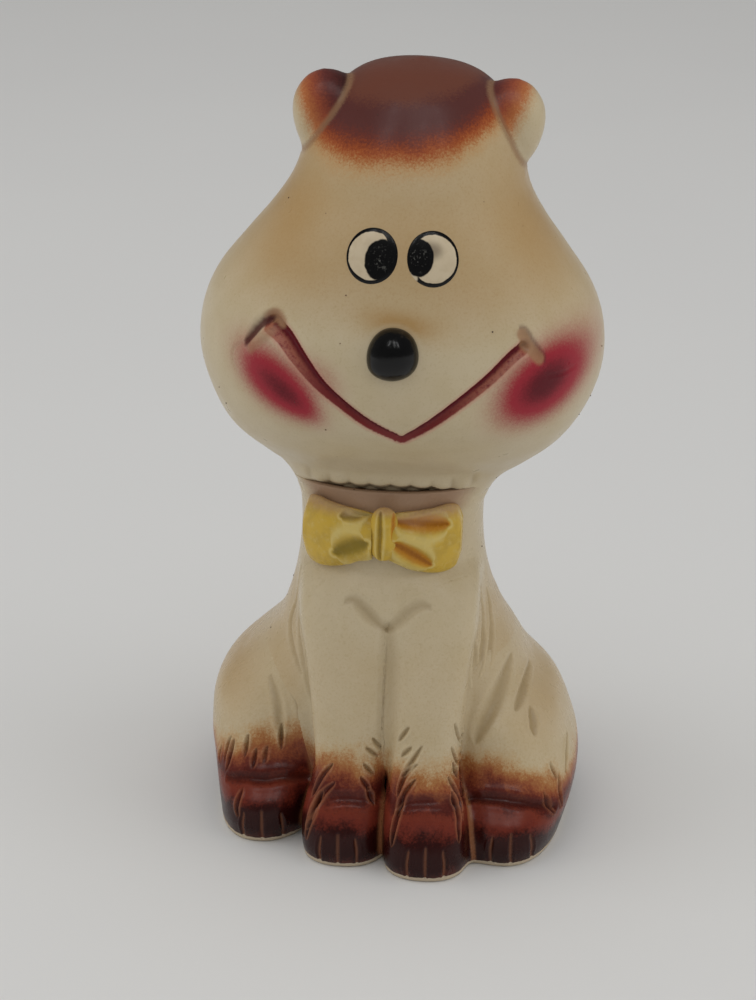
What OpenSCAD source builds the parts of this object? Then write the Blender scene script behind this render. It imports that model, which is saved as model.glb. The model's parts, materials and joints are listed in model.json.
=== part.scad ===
// Seated dog figurine in glazed earthenware: a hollow body and a hollow head, with the legs, tail, ears,
// nose, eyes and bow tie luted on, and a foot slab with a vent hole.
// Millimetres. +Z is up, the dog faces -Y, and the origin lies on the table under the neck.

/* [Overall] */
// Height of the figurine, from the table to the top of the head
height = 166; // [150:1:180]
// Thickness of the cast clay wall
wall = 3.4; // [2.8:0.1:4]

/* [Head] */
// Height of the neck joint above the table
neck_z = 75; // [72:1:78]
// Width across the cheeks
head_width = 85; // [80:1:90]
// Depth of the face in front of the neck's axis
head_front = 36; // [33:1:38]
// Depth of the head behind the neck's axis
head_back = 31; // [28:1:33]
// Sideways lean of the head, towards the dog's left
head_tilt = 2; // [0:0.5:4]
// Turn of the head, towards the dog's left
head_turn = 4; // [0:0.5:5]
// How far the crown leans out over the dog's left cheek
crown_lean = 2; // [0:0.5:3]
// Height of an ear
ear_height = 18.4; // [17:0.2:20]
// Width of the nose
nose_width = 10.4; // [9:0.2:12]
// Height of an eye disc
eye_height = 11.4; // [11:0.2:13]
// How far an eye disc stands off the face
eye_relief = 0.9; // [0.6:0.1:1.2]

/* [Body] */
// Width across the haunches
haunch_width = 81; // [78:1:86]
// Width of the neck at the joint
neck_width = 41; // [38:1:42]
// Distance from the neck's axis to the tips of the front paws
paw_reach = 40; // [38:1:42]
// Distance from the neck's axis to the rump
rump_reach = 38; // [36:1:40]
// How much further forward the left paws stand than the right ones
stagger = 4; // [0:0.5:5]
// How far the front paws stand to the dog's left of its middle plane
sway = 1.2; // [0:0.1:2]
// Thickness of the foot slab
slab = 3.5; // [3:0.1:4]
// Width of the vent hole in the foot slab
vent_width = 10; // [8:0.5:12]

/* [Bow tie] */
// Width across both loops
bow_width = 33.5; // [31:0.5:36]
// Height of a loop at its widest
bow_height = 15; // [13:0.5:16]
// Height of the bow's middle above the table
bow_z = 67.6; // [66:0.2:69]
// Sideways tilt of the bow
bow_tilt = 1; // [0:0.5:6]

/* [Hidden] */

cream = "#d8cba6";
brown = "#6b3326";
yellow = "#d9b83c";
black = "#141414";
white = "#e6decb";
bisque = "#cdbfa8";

segments = 36; // points round a section
steps = 2; // rings made from each station
tip = 0.4; // half width of the ring that closes a rounded end
through = 1; // how far a cutter runs past what it cuts
rebate = 0.8; // how far the slab reaches into the wall
vent_y = 14; // the vent hole's place behind the origin
body_x = -1.2; // the neck stands a little towards the dog's right of the front paws
hips_x = -0.5; // the middle of the haunches

head_height = height - neck_z;
neck_half = neck_width / 2;
haunch_half = haunch_width / 2;
ear_half = ear_height * 0.39;
nose_z = neck_z + 0.425 * head_height;
eye_z = neck_z + 0.626 * head_height;
ear_z = neck_z + 0.87 * head_height;
eye_x = 6; // an eye disc's distance from the middle of the face
eye_y = -29.5; // and its place in front of the neck's axis
eye_slope = 72; // how steeply the discs stand
eye_turn = 13; // how far each disc turns outwards
eye_radius = 21.4; // roundness of a disc's dome
eye_depth = 4; // how deep a disc is set into the face
ear_x = 18.3; // an ear's distance from the middle of the head
ear_y = -3.6; // and its place in front of the neck's axis
ear_slope = 8; // an ear leans out and forwards by this angle
bow_x = body_x - 0.6; // the bow's middle
bow_y = -20.5; // and its place in front of the neck's axis
loop_y = 1.9; // the loops are this much further back than the knot
knot_x = 1.1; // the knot sits off the bow's middle
knot_radius = 2.2; // roundness of the knot
knot_half = 0.75; // half the distance between the knot's round sides
knot_low = -1.6; // centre of the knot's lower end
knot_high = 5.8; // centre of the knot's upper end
far = 100; // longer than any cutter needs

// Stations are [height, middle x, middle y, half width, depth in front, depth behind].

// Head, from the neck joint to the crown, as shares of its height, lean, half width and depths
head_stations = [
    for (s = [
        [0, 0.15, 0.455, 0.36, 0.60], [0.04, 0.25, 0.55, 0.42, 0.70], [0.085, 0.2, 0.69, 0.53, 0.79],
        [0.15, 0.15, 0.84, 0.74, 0.88], [0.235, 0.3, 0.94, 0.94, 0.955], [0.325, 0.3, 0.995, 1, 1],
        [0.415, 0.3, 0.985, 0.985, 1], [0.495, 0.3, 0.92, 0.93, 0.985], [0.575, 0.35, 0.795, 0.865, 0.955],
        [0.65, 0.4, 0.67, 0.80, 0.92], [0.72, 0.5, 0.58, 0.725, 0.865], [0.8, 0.7, 0.525, 0.64, 0.77],
        [0.875, 0.9, 0.465, 0.54, 0.64], [0.94, 1, 0.37, 0.415, 0.48], [0.98, 1, 0.235, 0.25, 0.29],
        [1, 1, tip / head_width, tip / head_front, tip / head_back]])
    [neck_z + s[0] * head_height, s[1] * crown_lean, 0, s[2] * head_width / 2, s[3] * head_front,
        s[4] * head_back]];

// Torso and neck
torso_stations = [
    [0, body_x, 4, 27, 25, rump_reach - 6],
    [slab, body_x, 4, 27, 25, rump_reach - 6],
    [10, body_x, 4, 29, 26, rump_reach - 4],
    [22, body_x, 3, 30, 25, rump_reach - 5],
    [34, body_x, 2, 27.5, 24, rump_reach - 9],
    [45, body_x, 1, 23.5, 22, 26],
    [56, body_x, 0, neck_half, 20, 21.5],
    [66, body_x, 0, neck_half - 1, 18, 18.5],
    [neck_z, body_x, 0, neck_half - 0.4, 17, 18.6],
    [neck_z + 5, body_x, 0, neck_half + 1, 17, 18.6]];

// Front leg on the dog's left, from the paw to the chest
foreleg_stations = [
    [0, 8.9, -30, 8.7, paw_reach - 31, 9],
    [3, 8.9, -30, 9.1, paw_reach - 30, 9],
    [8, 8.9, -30, 9, paw_reach - 30.6, 9],
    [12.5, 8.6, -29.5, 8.4, paw_reach - 32.5, 9],
    [16, 8.2, -28, 7.8, 7, 9],
    [22, 7.9, -26.5, 7.7, 6.4, 9],
    [34, 8.3, -24, 8.2, 6, 9],
    [45, 8.8, -21, 8.9, 5.4, 8],
    [53, 9, -17, 8.6, 5, 6],
    [58, 9, -13, 6, 4.4, 4],
    [61, 9, -10, tip, tip, tip]];

// Hind leg on the dog's left, from the paw to the top of the haunch, before it is slimmed
haunch_stations = [
    [0, haunch_half - 14.5, -2, 11.4, 28.5, 25],
    [4, haunch_half - 14.5, -2, 12.4, 30, 26],
    [9, haunch_half - 14.5, -2, 13.2, 29.4, 27],
    [13, haunch_half - 14.8, -1, 14.2, 26.5, 28],
    [18, haunch_half - 15.3, 1, 15, 25, 27],
    [26, haunch_half - 16.2, 3, 14.8, 24, 25],
    [33, haunch_half - 19.6, 4, 12.8, 20, 21],
    [40, haunch_half - 24.6, 4, 10, 15, 16],
    [46, haunch_half - 28.6, 3.5, 7, 9, 9],
    [50, haunch_half - 31, 3, tip, tip, tip]];

// How much each leg's outline is drawn in at each of those stations
right_slack = [-0.3, 0.4, 0.6, 0.3, -0.4, -0.6, 0.2, 0.5, 0, 0];
left_slack = [-0.8, -1, -1.5, -1.2, 0.2, 2.9, 4.3, 1.2, 0, 0];

function hind_leg_stations(side) = let (slack = side > 0 ? left_slack : right_slack) [
    for (i = [0 : len(slack) - 1]) let (r = haunch_stations[i])
    [r[0], r[1] - slack[i] / 2, r[2], r[3] - slack[i] / 2, r[4], r[5]]];

// Tail, curled up against the rump
tail_stations = [
    [0, body_x, rump_reach - 3, 5, 5, 6.5],
    [5, body_x, rump_reach - 3, 5.6, 5, 7],
    [12, body_x + 1, rump_reach - 3, 5.4, 5, 6.6],
    [19, body_x + 3, rump_reach - 5, 4.6, 5, 5.8],
    [25, body_x + 5.5, rump_reach - 8, 3.4, 4, 5],
    [28.5, body_x + 7, rump_reach - 10, tip, tip, tip]];

// Ear on the dog's left, from its lobe to its top, about the ear's own middle
ear_stations = [
    for (s = [[-0.5, 0.1, 0.1], [-0.44, 0.5, 0.45], [-0.28, 0.86, 0.8], [0, 1, 0.92],
              [0.24, 0.9, 0.82], [0.42, 0.54, 0.5], [0.5, 0.1, 0.1]])
    [s[0] * ear_height, 0, 0, s[1] * ear_half, s[2] * ear_half, s[2] * ear_half]];

// Bow loop on the dog's left, from the knot outwards: share of the half width, lift of its middle as a share of
// the half height, share of the half height, and how far it curves back
loop_stations = [
    for (s = [[0.08, 0.11, 0.64, 0], [0.25, 0.09, 0.74, 0.2], [0.45, 0.02, 0.87, 0.8], [0.65, -0.01, 0.96, 2],
              [0.82, 0, 1, 3.8], [0.94, 0, 0.88, 5.6], [1, 0, 0.5, 6.6]])
    [s[0] * bow_width / 2, -s[1] * bow_height / 2, s[3], s[2] * bow_height / 2, 3.6, 3]];

// A smooth curve through four neighbouring rows, at t between the middle two
function spline(a, b, c, d, t) =
    0.5 * (2 * b + (c - a) * t + (2 * a - 5 * b + 4 * c - d) * t * t + (3 * b - a - 3 * c + d) * t * t * t);

function smooth_rows(rows) = [
    for (i = [0 : len(rows) - 2], k = [0 : steps - 1])
        spline(rows[max(i - 1, 0)], rows[i], rows[i + 1], rows[min(i + 2, len(rows) - 1)], k / steps),
    rows[len(rows) - 1]];

function inset(r, by) = [r[0], r[1], r[2], max(r[3] - by, tip), max(r[4] - by, tip), max(r[5] - by, tip)];

// The same rows with the clay wall taken off, run out through the bottom
function hollow_rows(rows) = [
    [rows[0][0] - through, for (k = [1 : 5]) inset(rows[0], wall)[k]],
    for (r = rows) inset(r, wall)];

function bulge(v, n) = sign(v) * pow(abs(v), 2 / n);

function section(r, n) = [
    for (i = [0 : segments - 1])
    let (a = 360 * i / segments, depth = sin(a) < 0 ? r[4] : r[5])
    [r[1] + r[3] * bulge(cos(a), n), r[2] + depth * bulge(sin(a), n), r[0]]];

// A closed form through upright stations. n is 2 for oval sections and more for squarer ones.
module loft(rows, n = 2) {
    rings = [for (r = smooth_rows(rows)) section(r, n)];
    last = (len(rings) - 1) * segments;
    polyhedron(
        points = [for (ring = rings) each ring],
        faces = concat(
            [[for (i = [0 : segments - 1]) i]],
            [for (k = [0 : segments : last - segments], i = [0 : segments - 1])
                let (j = (i + 1) % segments)
                [k + i, k + segments + i, k + segments + j, k + j]],
            [[for (i = [segments - 1 : -1 : 0]) last + i]]));
}

// Free-form walls that are cut by one another are kept as one mesh.
module modelled() resize([0, 0, 0]) children();

// The head leans and turns about the middle of the neck joint.
module posed() translate([body_x, 0, neck_z]) rotate([0, head_tilt, head_turn]) translate([0, 0, -neck_z])
    children();

module mirrored_to(side) mirror([side < 0 ? 1 : 0, 0, 0]) children();

torso_squareness = 2.2;
head_squareness = 2.15;
leg_squareness = 2.3;

module torso() loft(torso_stations, torso_squareness);

module head() loft(head_stations, head_squareness);

module above_neck() posed() translate([-far / 2, -far / 2, neck_z]) cube(far);

module body_shell() color(cream) modelled() difference() {
    torso();
    loft(hollow_rows(torso_stations), torso_squareness);
    translate([0, 0, -through]) linear_extrude(slab + through) slab_outline();
    above_neck();
}

module head_shell() color(cream) modelled() difference() {
    posed() head();
    posed() translate([0, 0, neck_z]) scale([1, 1, 1 - wall / head_height]) translate([0, 0, -neck_z])
        loft(hollow_rows(head_stations), head_squareness);
}

// The slab sits in a shallow rebate in the wall.
module slab_outline()
    polygon([for (p = section(inset(torso_stations[0], wall - rebate), torso_squareness)) [p[0], p[1]]]);

module foot_slab() color(bisque) difference() {
    linear_extrude(slab) slab_outline();
    translate([0, vent_y, -through]) cylinder(d = vent_width, h = slab + 2 * through, $fn = 64);
}

// The middle plane of the front legs leans back to the body's own by the height of the shoulders.
lean = [1, 0, -sway / 80, sway];

// side is 1 for the dog's left and -1 for its right. The paw goes forward and the shoulder stays.
module foreleg_placed(side)
    multmatrix([lean, [0, 1, side * stagger / 100, -side * stagger / 2], [0, 0, 1, 0]])
    mirrored_to(side) children();

module foreleg_form(side) foreleg_placed(side) loft(foreleg_stations, leg_squareness);

module hind_leg_form(side) translate([hips_x, -side * stagger / 2, 0]) mirrored_to(side)
    loft(hind_leg_stations(side), leg_squareness);

module foreleg(side) color(cream) modelled() difference() {
    intersection() {
        foreleg_form(side);
        // the legs meet on the middle plane
        multmatrix([lean, [0, 1, 0, 0], [0, 0, 1, 0]]) mirrored_to(side)
            translate([0, -far / 2, 0]) cube(far);
    }
    torso();
}

module hind_leg(side) color(cream) modelled() difference() {
    hind_leg_form(side);
    torso();
    foreleg_form(side);
}

module tail() color(brown) modelled() difference() {
    loft(tail_stations);
    torso();
}

module ear(side) color(brown) modelled() difference() {
    translate([crown_lean, 0, 0]) mirrored_to(side)
    translate([ear_x, ear_y, ear_z]) rotate([ear_slope, ear_slope, 0]) loft(ear_stations, leg_squareness);
    head();
}

module nose() color(black) modelled() difference() {
    translate([0, 1 - head_front, nose_z]) scale([1, 0.95, 1.04]) sphere(d = nose_width, $fn = 36);
    head();
}

module eye(side) color(white) modelled() difference() {
    translate([crown_lean * 0.42, 0, 0]) mirrored_to(side) translate([eye_x, eye_y, eye_z])
    rotate([eye_slope, 0, eye_turn]) scale([0.93, 1, 1]) intersection() {
        translate([0, 0, -eye_depth]) cylinder(d = eye_height, h = eye_depth + eye_relief, $fn = 48);
        translate([0, 0, -eye_radius]) sphere(r = eye_radius + eye_relief, $fn = 72);
    }
    head();
}

module bow_loop(side) color(yellow) modelled() difference() {
    bow_placed() translate([0, loop_y, 0]) mirrored_to(side) rotate([0, 90, 0])
        loft(loop_stations, leg_squareness);
    torso();
    bow_knot_form();
    head_form();
}

module bow_placed() translate([bow_x, bow_y, bow_z]) rotate([0, bow_tilt, 0]) children();

module bow_knot_form() bow_placed() hull() for (x = [-knot_half, knot_half], z = [knot_low, knot_high])
    translate([knot_x + x, 0, z]) sphere(r = knot_radius, $fn = 28);

module bow_knot() color(yellow) modelled() difference() {
    bow_knot_form();
    torso();
    head_form();
}

module head_form() posed() head();

body_shell();
head_shell();
foot_slab();
foreleg(1);  // foreleg_left
foreleg(-1);  // foreleg_right
hind_leg(1);  // hind_leg_left
hind_leg(-1);  // hind_leg_right
tail();
posed() ear(1);  // ear_left
posed() ear(-1);  // ear_right
posed() nose();
posed() eye(1);  // eye_left
posed() eye(-1);  // eye_right
bow_loop(1);  // bow_loop_left
bow_loop(-1);  // bow_loop_right
bow_knot();
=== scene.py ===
"""Seated dog figurine in glazed earthenware: the visible pieces, their glazes and the studio, built on the
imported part. Lengths in the tables below are in millimetres and meshes are made in metres. The dog faces -Y."""

import json
import math

import bpy
import numpy as np
from mathutils import Matrix, Vector

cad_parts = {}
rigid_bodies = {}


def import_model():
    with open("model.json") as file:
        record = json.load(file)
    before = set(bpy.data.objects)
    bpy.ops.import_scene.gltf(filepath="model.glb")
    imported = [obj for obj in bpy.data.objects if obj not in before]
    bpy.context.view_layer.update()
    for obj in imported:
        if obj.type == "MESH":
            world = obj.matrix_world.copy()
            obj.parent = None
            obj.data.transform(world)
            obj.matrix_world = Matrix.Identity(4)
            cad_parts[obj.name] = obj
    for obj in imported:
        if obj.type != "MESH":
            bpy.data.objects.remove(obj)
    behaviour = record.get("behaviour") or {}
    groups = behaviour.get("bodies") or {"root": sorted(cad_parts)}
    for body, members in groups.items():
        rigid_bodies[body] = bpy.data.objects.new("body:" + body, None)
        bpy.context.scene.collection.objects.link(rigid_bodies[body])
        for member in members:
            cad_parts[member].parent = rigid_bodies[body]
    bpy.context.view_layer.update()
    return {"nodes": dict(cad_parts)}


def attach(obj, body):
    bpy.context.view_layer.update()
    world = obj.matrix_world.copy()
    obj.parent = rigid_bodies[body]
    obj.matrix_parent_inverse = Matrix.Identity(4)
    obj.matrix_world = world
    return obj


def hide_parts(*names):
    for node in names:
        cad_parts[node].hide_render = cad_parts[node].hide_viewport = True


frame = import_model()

bl_info = {
    "name": "Glazed dog figurine",
    "version": (1, 0, 0),
    "blender": (4, 5, 0),
    "location": "3D View > Sidebar > Figurine",
    "description": "Builds a seated earthenware dog with its glazes and a plain studio",
    "category": "Add Mesh",
}

MM = 0.001
BODY = "root"

# Sizes shared with the part's source, in millimetres
NECK_Z, HEAD_HEIGHT = 75.0, 91.0
HEAD_HALF, HEAD_FRONT, HEAD_BACK = 42.5, 36.0, 31.0
NECK_HALF, HAUNCH_HALF = 20.5, 40.5
RUMP, PAW_REACH = 38.0, 40.0
WALL, SLAB, REBATE = 3.4, 3.5, 0.8
BODY_X, HIPS_X = -1.2, -0.5
CROWN_LEAN, HEAD_TILT, HEAD_TURN = 2.0, 2.0, 4.0
STAGGER, SWAY = 4.0, 1.2
EAR_HEIGHT, NOSE_WIDTH, EYE_HEIGHT = 18.4, 10.4, 11.4
EAR_HALF = EAR_HEIGHT * 0.39
EYE_Z = NECK_Z + 0.626 * HEAD_HEIGHT
NOSE_Z = NECK_Z + 0.425 * HEAD_HEIGHT
EAR_Z = NECK_Z + 0.87 * HEAD_HEIGHT
BOW_HALF, BOW_RISE, BOW_X, BOW_Z, BOW_TILT = 16.75, 7.5, BODY_X - 0.6, 67.6, 1.0
KNOT_X, KNOT_Z, KNOT_HALF, KNOT_RISE = 1.1, 2.1, 2.9, 5.9
TIP = 0.4

# Stations are [height, middle x, middle y, half width, depth in front, depth behind].
HEAD_SHARES = [
    [0, 0.15, 0.455, 0.36, 0.60], [0.04, 0.25, 0.55, 0.42, 0.70], [0.085, 0.2, 0.69, 0.53, 0.79],
    [0.15, 0.15, 0.84, 0.74, 0.88], [0.235, 0.3, 0.94, 0.94, 0.955], [0.325, 0.3, 0.995, 1, 1],
    [0.415, 0.3, 0.985, 0.985, 1], [0.495, 0.3, 0.92, 0.93, 0.985], [0.575, 0.35, 0.795, 0.865, 0.955],
    [0.65, 0.4, 0.67, 0.80, 0.92], [0.72, 0.5, 0.58, 0.725, 0.865], [0.8, 0.7, 0.525, 0.64, 0.77],
    [0.875, 0.9, 0.465, 0.54, 0.64], [0.94, 1, 0.37, 0.415, 0.48], [0.98, 1, 0.235, 0.25, 0.29],
    [1, 1, TIP / 85, TIP / HEAD_FRONT, TIP / HEAD_BACK],
]
HEAD = [
    [NECK_Z + s * HEAD_HEIGHT, lean * CROWN_LEAN, 0, wide * HEAD_HALF, front * HEAD_FRONT, back * HEAD_BACK]
    for s, lean, wide, front, back in HEAD_SHARES
]
TORSO = [
    [0, BODY_X, 4, 27, 25, RUMP - 6], [SLAB, BODY_X, 4, 27, 25, RUMP - 6], [10, BODY_X, 4, 29, 26, RUMP - 4],
    [22, BODY_X, 3, 30, 25, RUMP - 5], [34, BODY_X, 2, 27.5, 24, RUMP - 9], [45, BODY_X, 1, 23.5, 22, 26],
    [56, BODY_X, 0, NECK_HALF, 20, 21.5], [66, BODY_X, 0, NECK_HALF - 1, 18, 18.5],
    [NECK_Z, BODY_X, 0, NECK_HALF - 0.4, 17, 18.6], [NECK_Z + 5, BODY_X, 0, NECK_HALF + 1, 17, 18.6],
]
FORELEG = [
    [0, 8.9, -30, 8.7, PAW_REACH - 31, 9], [3, 8.9, -30, 9.1, PAW_REACH - 30, 9],
    [8, 8.9, -30, 9, PAW_REACH - 30.6, 9], [12.5, 8.6, -29.5, 8.4, PAW_REACH - 32.5, 9],
    [16, 8.2, -28, 7.8, 7, 9], [22, 7.9, -26.5, 7.7, 6.4, 9], [34, 8.3, -24, 8.2, 6, 9],
    [45, 8.8, -21, 8.9, 5.4, 8], [53, 9, -17, 8.6, 5, 6], [58, 9, -13, 6, 4.4, 4], [61, 9, -10, TIP, TIP, TIP],
]
HAUNCH = [
    [0, HAUNCH_HALF - 14.5, -2, 11.4, 28.5, 25], [4, HAUNCH_HALF - 14.5, -2, 12.4, 30, 26],
    [9, HAUNCH_HALF - 14.5, -2, 13.2, 29.4, 27], [13, HAUNCH_HALF - 14.8, -1, 14.2, 26.5, 28],
    [18, HAUNCH_HALF - 15.3, 1, 15, 25, 27], [26, HAUNCH_HALF - 16.2, 3, 14.8, 24, 25],
    [33, HAUNCH_HALF - 19.6, 4, 12.8, 20, 21], [40, HAUNCH_HALF - 24.6, 4, 10, 15, 16],
    [46, HAUNCH_HALF - 28.6, 3.5, 7, 9, 9], [50, HAUNCH_HALF - 31, 3, TIP, TIP, TIP],
]
# How much each hind leg's outline is drawn in at each of those stations
SLACK = {
    -1: [-0.3, 0.4, 0.6, 0.3, -0.4, -0.6, 0.2, 0.5, 0, 0],
    1: [-0.8, -1, -1.5, -1.2, 0.2, 2.9, 4.3, 1.2, 0, 0],
}
TAIL = [
    [0, BODY_X, RUMP - 3, 5, 5, 6.5], [5, BODY_X, RUMP - 3, 5.6, 5, 7], [12, BODY_X + 1, RUMP - 3, 5.4, 5, 6.6],
    [19, BODY_X + 3, RUMP - 5, 4.6, 5, 5.8], [25, BODY_X + 5.5, RUMP - 8, 3.4, 4, 5],
    [28.5, BODY_X + 7, RUMP - 10, TIP, TIP, TIP],
]
EAR = [
    [s * EAR_HEIGHT, 0, 0, wide * EAR_HALF, deep * EAR_HALF, deep * EAR_HALF]
    for s, wide, deep in [[-0.5, 0.1, 0.1], [-0.44, 0.5, 0.45], [-0.28, 0.86, 0.8], [0, 1, 0.92],
                          [0.24, 0.9, 0.82], [0.42, 0.54, 0.5], [0.5, 0.1, 0.1]]
]
BOW_LOOP = [
    [s * BOW_HALF, -lift * BOW_RISE, out, rise * BOW_RISE, 3.6, 3]
    for s, lift, rise, out in [[0.08, 0.11, 0.64, 0], [0.25, 0.09, 0.74, 0.2], [0.45, 0.02, 0.87, 0.8],
                               [0.65, -0.01, 0.96, 2], [0.82, 0, 1, 3.8], [0.94, 0, 0.88, 5.6], [1, 0, 0.5, 6.6]]
]
# Powers of the sections' outlines: 2 is an ellipse, and more is squarer
ROUND, TORSO_SQUARE, HEAD_SQUARE, LEG_SQUARE = 2.0, 2.2, 2.15, 2.3
CURVE_STEPS = 16  # rows between two stations


# ---- places --------------------------------------------------------------------------------------


def moved(x, y, z):
    return np.array(Matrix.Translation((x, y, z)))


def turned(axis, degrees):
    return np.array(Matrix.Rotation(math.radians(degrees), 4, axis))


def sized(x, y, z):
    return np.diag([x, y, z, 1.0])


def to_side(side):
    """side is 1 for the dog's left and -1 for its right."""
    return sized(side, 1, 1)


def head_place():
    """The head leans and turns about the middle of the neck joint."""
    return moved(BODY_X, 0, NECK_Z) @ turned("Z", HEAD_TURN) @ turned("Y", HEAD_TILT) @ moved(0, 0, -NECK_Z)


def foreleg_place(side):
    shear = np.eye(4)
    shear[0, 2], shear[0, 3] = -SWAY / 80, SWAY
    shear[1, 2], shear[1, 3] = side * STAGGER / 100, -side * STAGGER / 2
    return shear @ to_side(side)


def hind_leg_place(side):
    return moved(HIPS_X, -side * STAGGER / 2, 0) @ to_side(side)


def hind_leg(side):
    return [[z, x - s / 2, y, wide - s / 2, front, back]
            for (z, x, y, wide, front, back), s in zip(HAUNCH, SLACK[side])]


def ear_place(side):
    return (head_place() @ moved(CROWN_LEAN, 0, 0) @ to_side(side) @ moved(18.3, -3.6, EAR_Z)
            @ turned("Y", 8) @ turned("X", 8))


def eye_place(side):
    return (head_place() @ moved(CROWN_LEAN * 0.42, 0, 0) @ to_side(side) @ moved(6, -29.5, EYE_Z)
            @ turned("Z", 13) @ turned("X", 72) @ sized(0.93, 1, 1))


def bow_place():
    return moved(BOW_X, -20.5, BOW_Z) @ turned("Y", BOW_TILT)


def carried(place, points):
    return points @ place[:3, :3].T + place[:3, 3]


# ---- forms ---------------------------------------------------------------------------------------


def smooth_rows(stations, steps):
    """Rows on a smooth curve through the stations."""
    s = np.array(stations, float)
    s = np.vstack([s[:1], s, s[-1:]])
    rows = []
    for a, b, c, d in zip(s, s[1:], s[2:], s[3:]):
        for t in np.arange(steps) / steps:
            rows.append(0.5 * (2 * b + (c - a) * t + (2 * a - 5 * b + 4 * c - d) * t**2
                               + (3 * b - a - 3 * c + d) * t**3))
    rows.append(s[-2])
    return np.array(rows)


class Form:
    """A smooth body through upright stations, with oval or squarer sections, at a place in the figurine."""

    def __init__(self, stations, squareness, place=None, fade=0.0):
        self.fade = fade  # height below the top over which its slope is left out, so that it blends evenly
        self.rows = smooth_rows(stations, CURVE_STEPS)
        self.slopes = np.gradient(self.rows, self.rows[:, 0], axis=0)
        self.squareness = squareness
        self.place = np.eye(4) if place is None else place
        self.back = np.linalg.inv(self.place)
        self.mirrored = np.linalg.det(self.place) < 0

    def at(self, heights, table=None):
        table = self.rows if table is None else table
        return [np.interp(heights, self.rows[:, 0], table[:, k]) for k in range(1, 6)]

    def own(self, points):
        return carried(self.back, points)

    def gap(self, points):
        """Distance from the surface, near enough, and negative inside."""
        x, y, z = self.own(points).T
        n = self.squareness
        level = np.clip(z, self.rows[0, 0], self.rows[-1, 0])
        mx, my, wide, front, back = self.at(level)
        _, _, wide_slope, front_slope, back_slope = self.at(level, self.slopes)
        dx, dy = x - mx + 1e-4, y - my
        deep = np.where(dy < 0, front, back)
        deep_slope = np.where(dy < 0, front_slope, back_slope)
        px, py = (np.abs(dx) / wide) ** n, (np.abs(dy) / deep) ** n
        total = px + py
        share = total ** (1 / n)
        reach = np.hypot(dx, dy)
        edge = reach / share
        slope = edge * (px * wide_slope / wide + py * deep_slope / deep) / total
        if self.fade:
            slope = slope * smoothstep(0, self.fade, self.rows[-1, 0] - level)
        inside = (reach - edge) / np.sqrt(1 + slope**2)
        beyond = z - level
        return np.where(np.abs(beyond) > 1e-9, np.hypot(np.maximum(reach - edge, 0), beyond), inside)

    def levels(self, count, dense=()):
        """Heights for evenly spread rows. dense holds (from, to, how many times closer)."""
        rows = self.rows
        wide, deep = rows[:, 3], (rows[:, 4] + rows[:, 5]) / 2
        step = np.sqrt(np.diff(rows[:, 0]) ** 2 + (np.diff(wide) ** 2 + np.diff(deep) ** 2) / 2)
        middle = (rows[1:, 0] + rows[:-1, 0]) / 2
        for low, high, times in dense:
            step = step * np.where((middle > low) & (middle < high), times, 1)
        travelled = np.concatenate([[0], np.cumsum(step)])
        return np.interp(np.linspace(0, travelled[-1], count), travelled, rows[:, 0])

    def rings(self, heights, angles, inset=0.0):
        """A grid of points on the surface, one ring for each height."""
        mx, my, wide, front, back = (v[:, None] for v in self.at(heights))
        wide, front, back = (np.maximum(v - inset, TIP) for v in (wide, front, back))
        power = 2 / self.squareness
        c, s = np.cos(angles)[None], np.sin(angles)[None]
        x = mx + wide * np.sign(c) * np.abs(c) ** power
        y = my + np.where(s < 0, front, back) * np.sign(s) * np.abs(s) ** power
        z = np.broadcast_to(np.asarray(heights, float)[:, None], x.shape)
        grid = np.stack([x, y, z], -1)
        return carried(self.place, grid.reshape(-1, 3)).reshape(grid.shape)


def ring_angles(count, front_share):
    """Angles round a section, with the given share of them on the front half."""
    front = round(count * front_share)
    return np.concatenate([np.pi + np.arange(front) * np.pi / front,
                           np.arange(count - front) * np.pi / (count - front)])


FORMS = {
    "head": Form(HEAD, HEAD_SQUARE, head_place()),
    "torso": Form(TORSO, TORSO_SQUARE),
    "tail": Form(TAIL, ROUND),
}
SIDES = (("left", 1), ("right", -1))
FORELEG_FADE = 6.0
for _name, _side in SIDES:
    FORMS["foreleg_" + _name] = Form(FORELEG, LEG_SQUARE, foreleg_place(_side), FORELEG_FADE)
    FORMS["hind_leg_" + _name] = Form(hind_leg(_side), LEG_SQUARE, hind_leg_place(_side))
    FORMS["ear_" + _name] = Form(EAR, LEG_SQUARE, ear_place(_side))
FAR = 1000.0
HIP_FILLET, TAIL_FILLET, NECK_FILLET, EAR_FILLET = 5.5, 2.4, 4.5, 2.2


def smooth_min(a, b, reach):
    close = np.maximum(reach - np.abs(a - b), 0) / reach
    return np.minimum(a, b) - close**2 * reach / 4


def joined(gaps, height):
    """The whole figurine's surface distance, with every joint filleted as slip and glaze fill it."""
    missing = np.full_like(height, FAR)
    get = lambda name: gaps.get(name, missing)
    hips = smooth_min(get("torso"), np.minimum(get("hind_leg_left"), get("hind_leg_right")), HIP_FILLET)
    seam = 1.6 + 4.4 * smoothstep(14, 32, height)
    forelegs = smooth_min(get("foreleg_left"), get("foreleg_right"), seam)
    shoulder = 3 + 3 * np.clip(1 - height / 7, 0, 1) + 6 * smoothstep(34, 50, height)
    whole = smooth_min(hips, forelegs, shoulder)
    whole = smooth_min(whole, get("tail"), TAIL_FILLET)
    whole = smooth_min(whole, get("head"), NECK_FILLET)
    return smooth_min(whole, np.minimum(get("ear_left"), get("ear_right")), EAR_FILLET)


def grid_normals(grid, flip):
    """Normals of a ring grid, from its neighbours along both ways."""
    round_way = np.roll(grid, -1, 1) - np.roll(grid, 1, 1)
    up_way = np.gradient(grid, axis=0)
    n = np.cross(round_way, up_way)
    if flip:
        n = -n
    length = np.linalg.norm(n, axis=-1, keepdims=True)
    return n / np.maximum(length, 1e-12)


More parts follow.
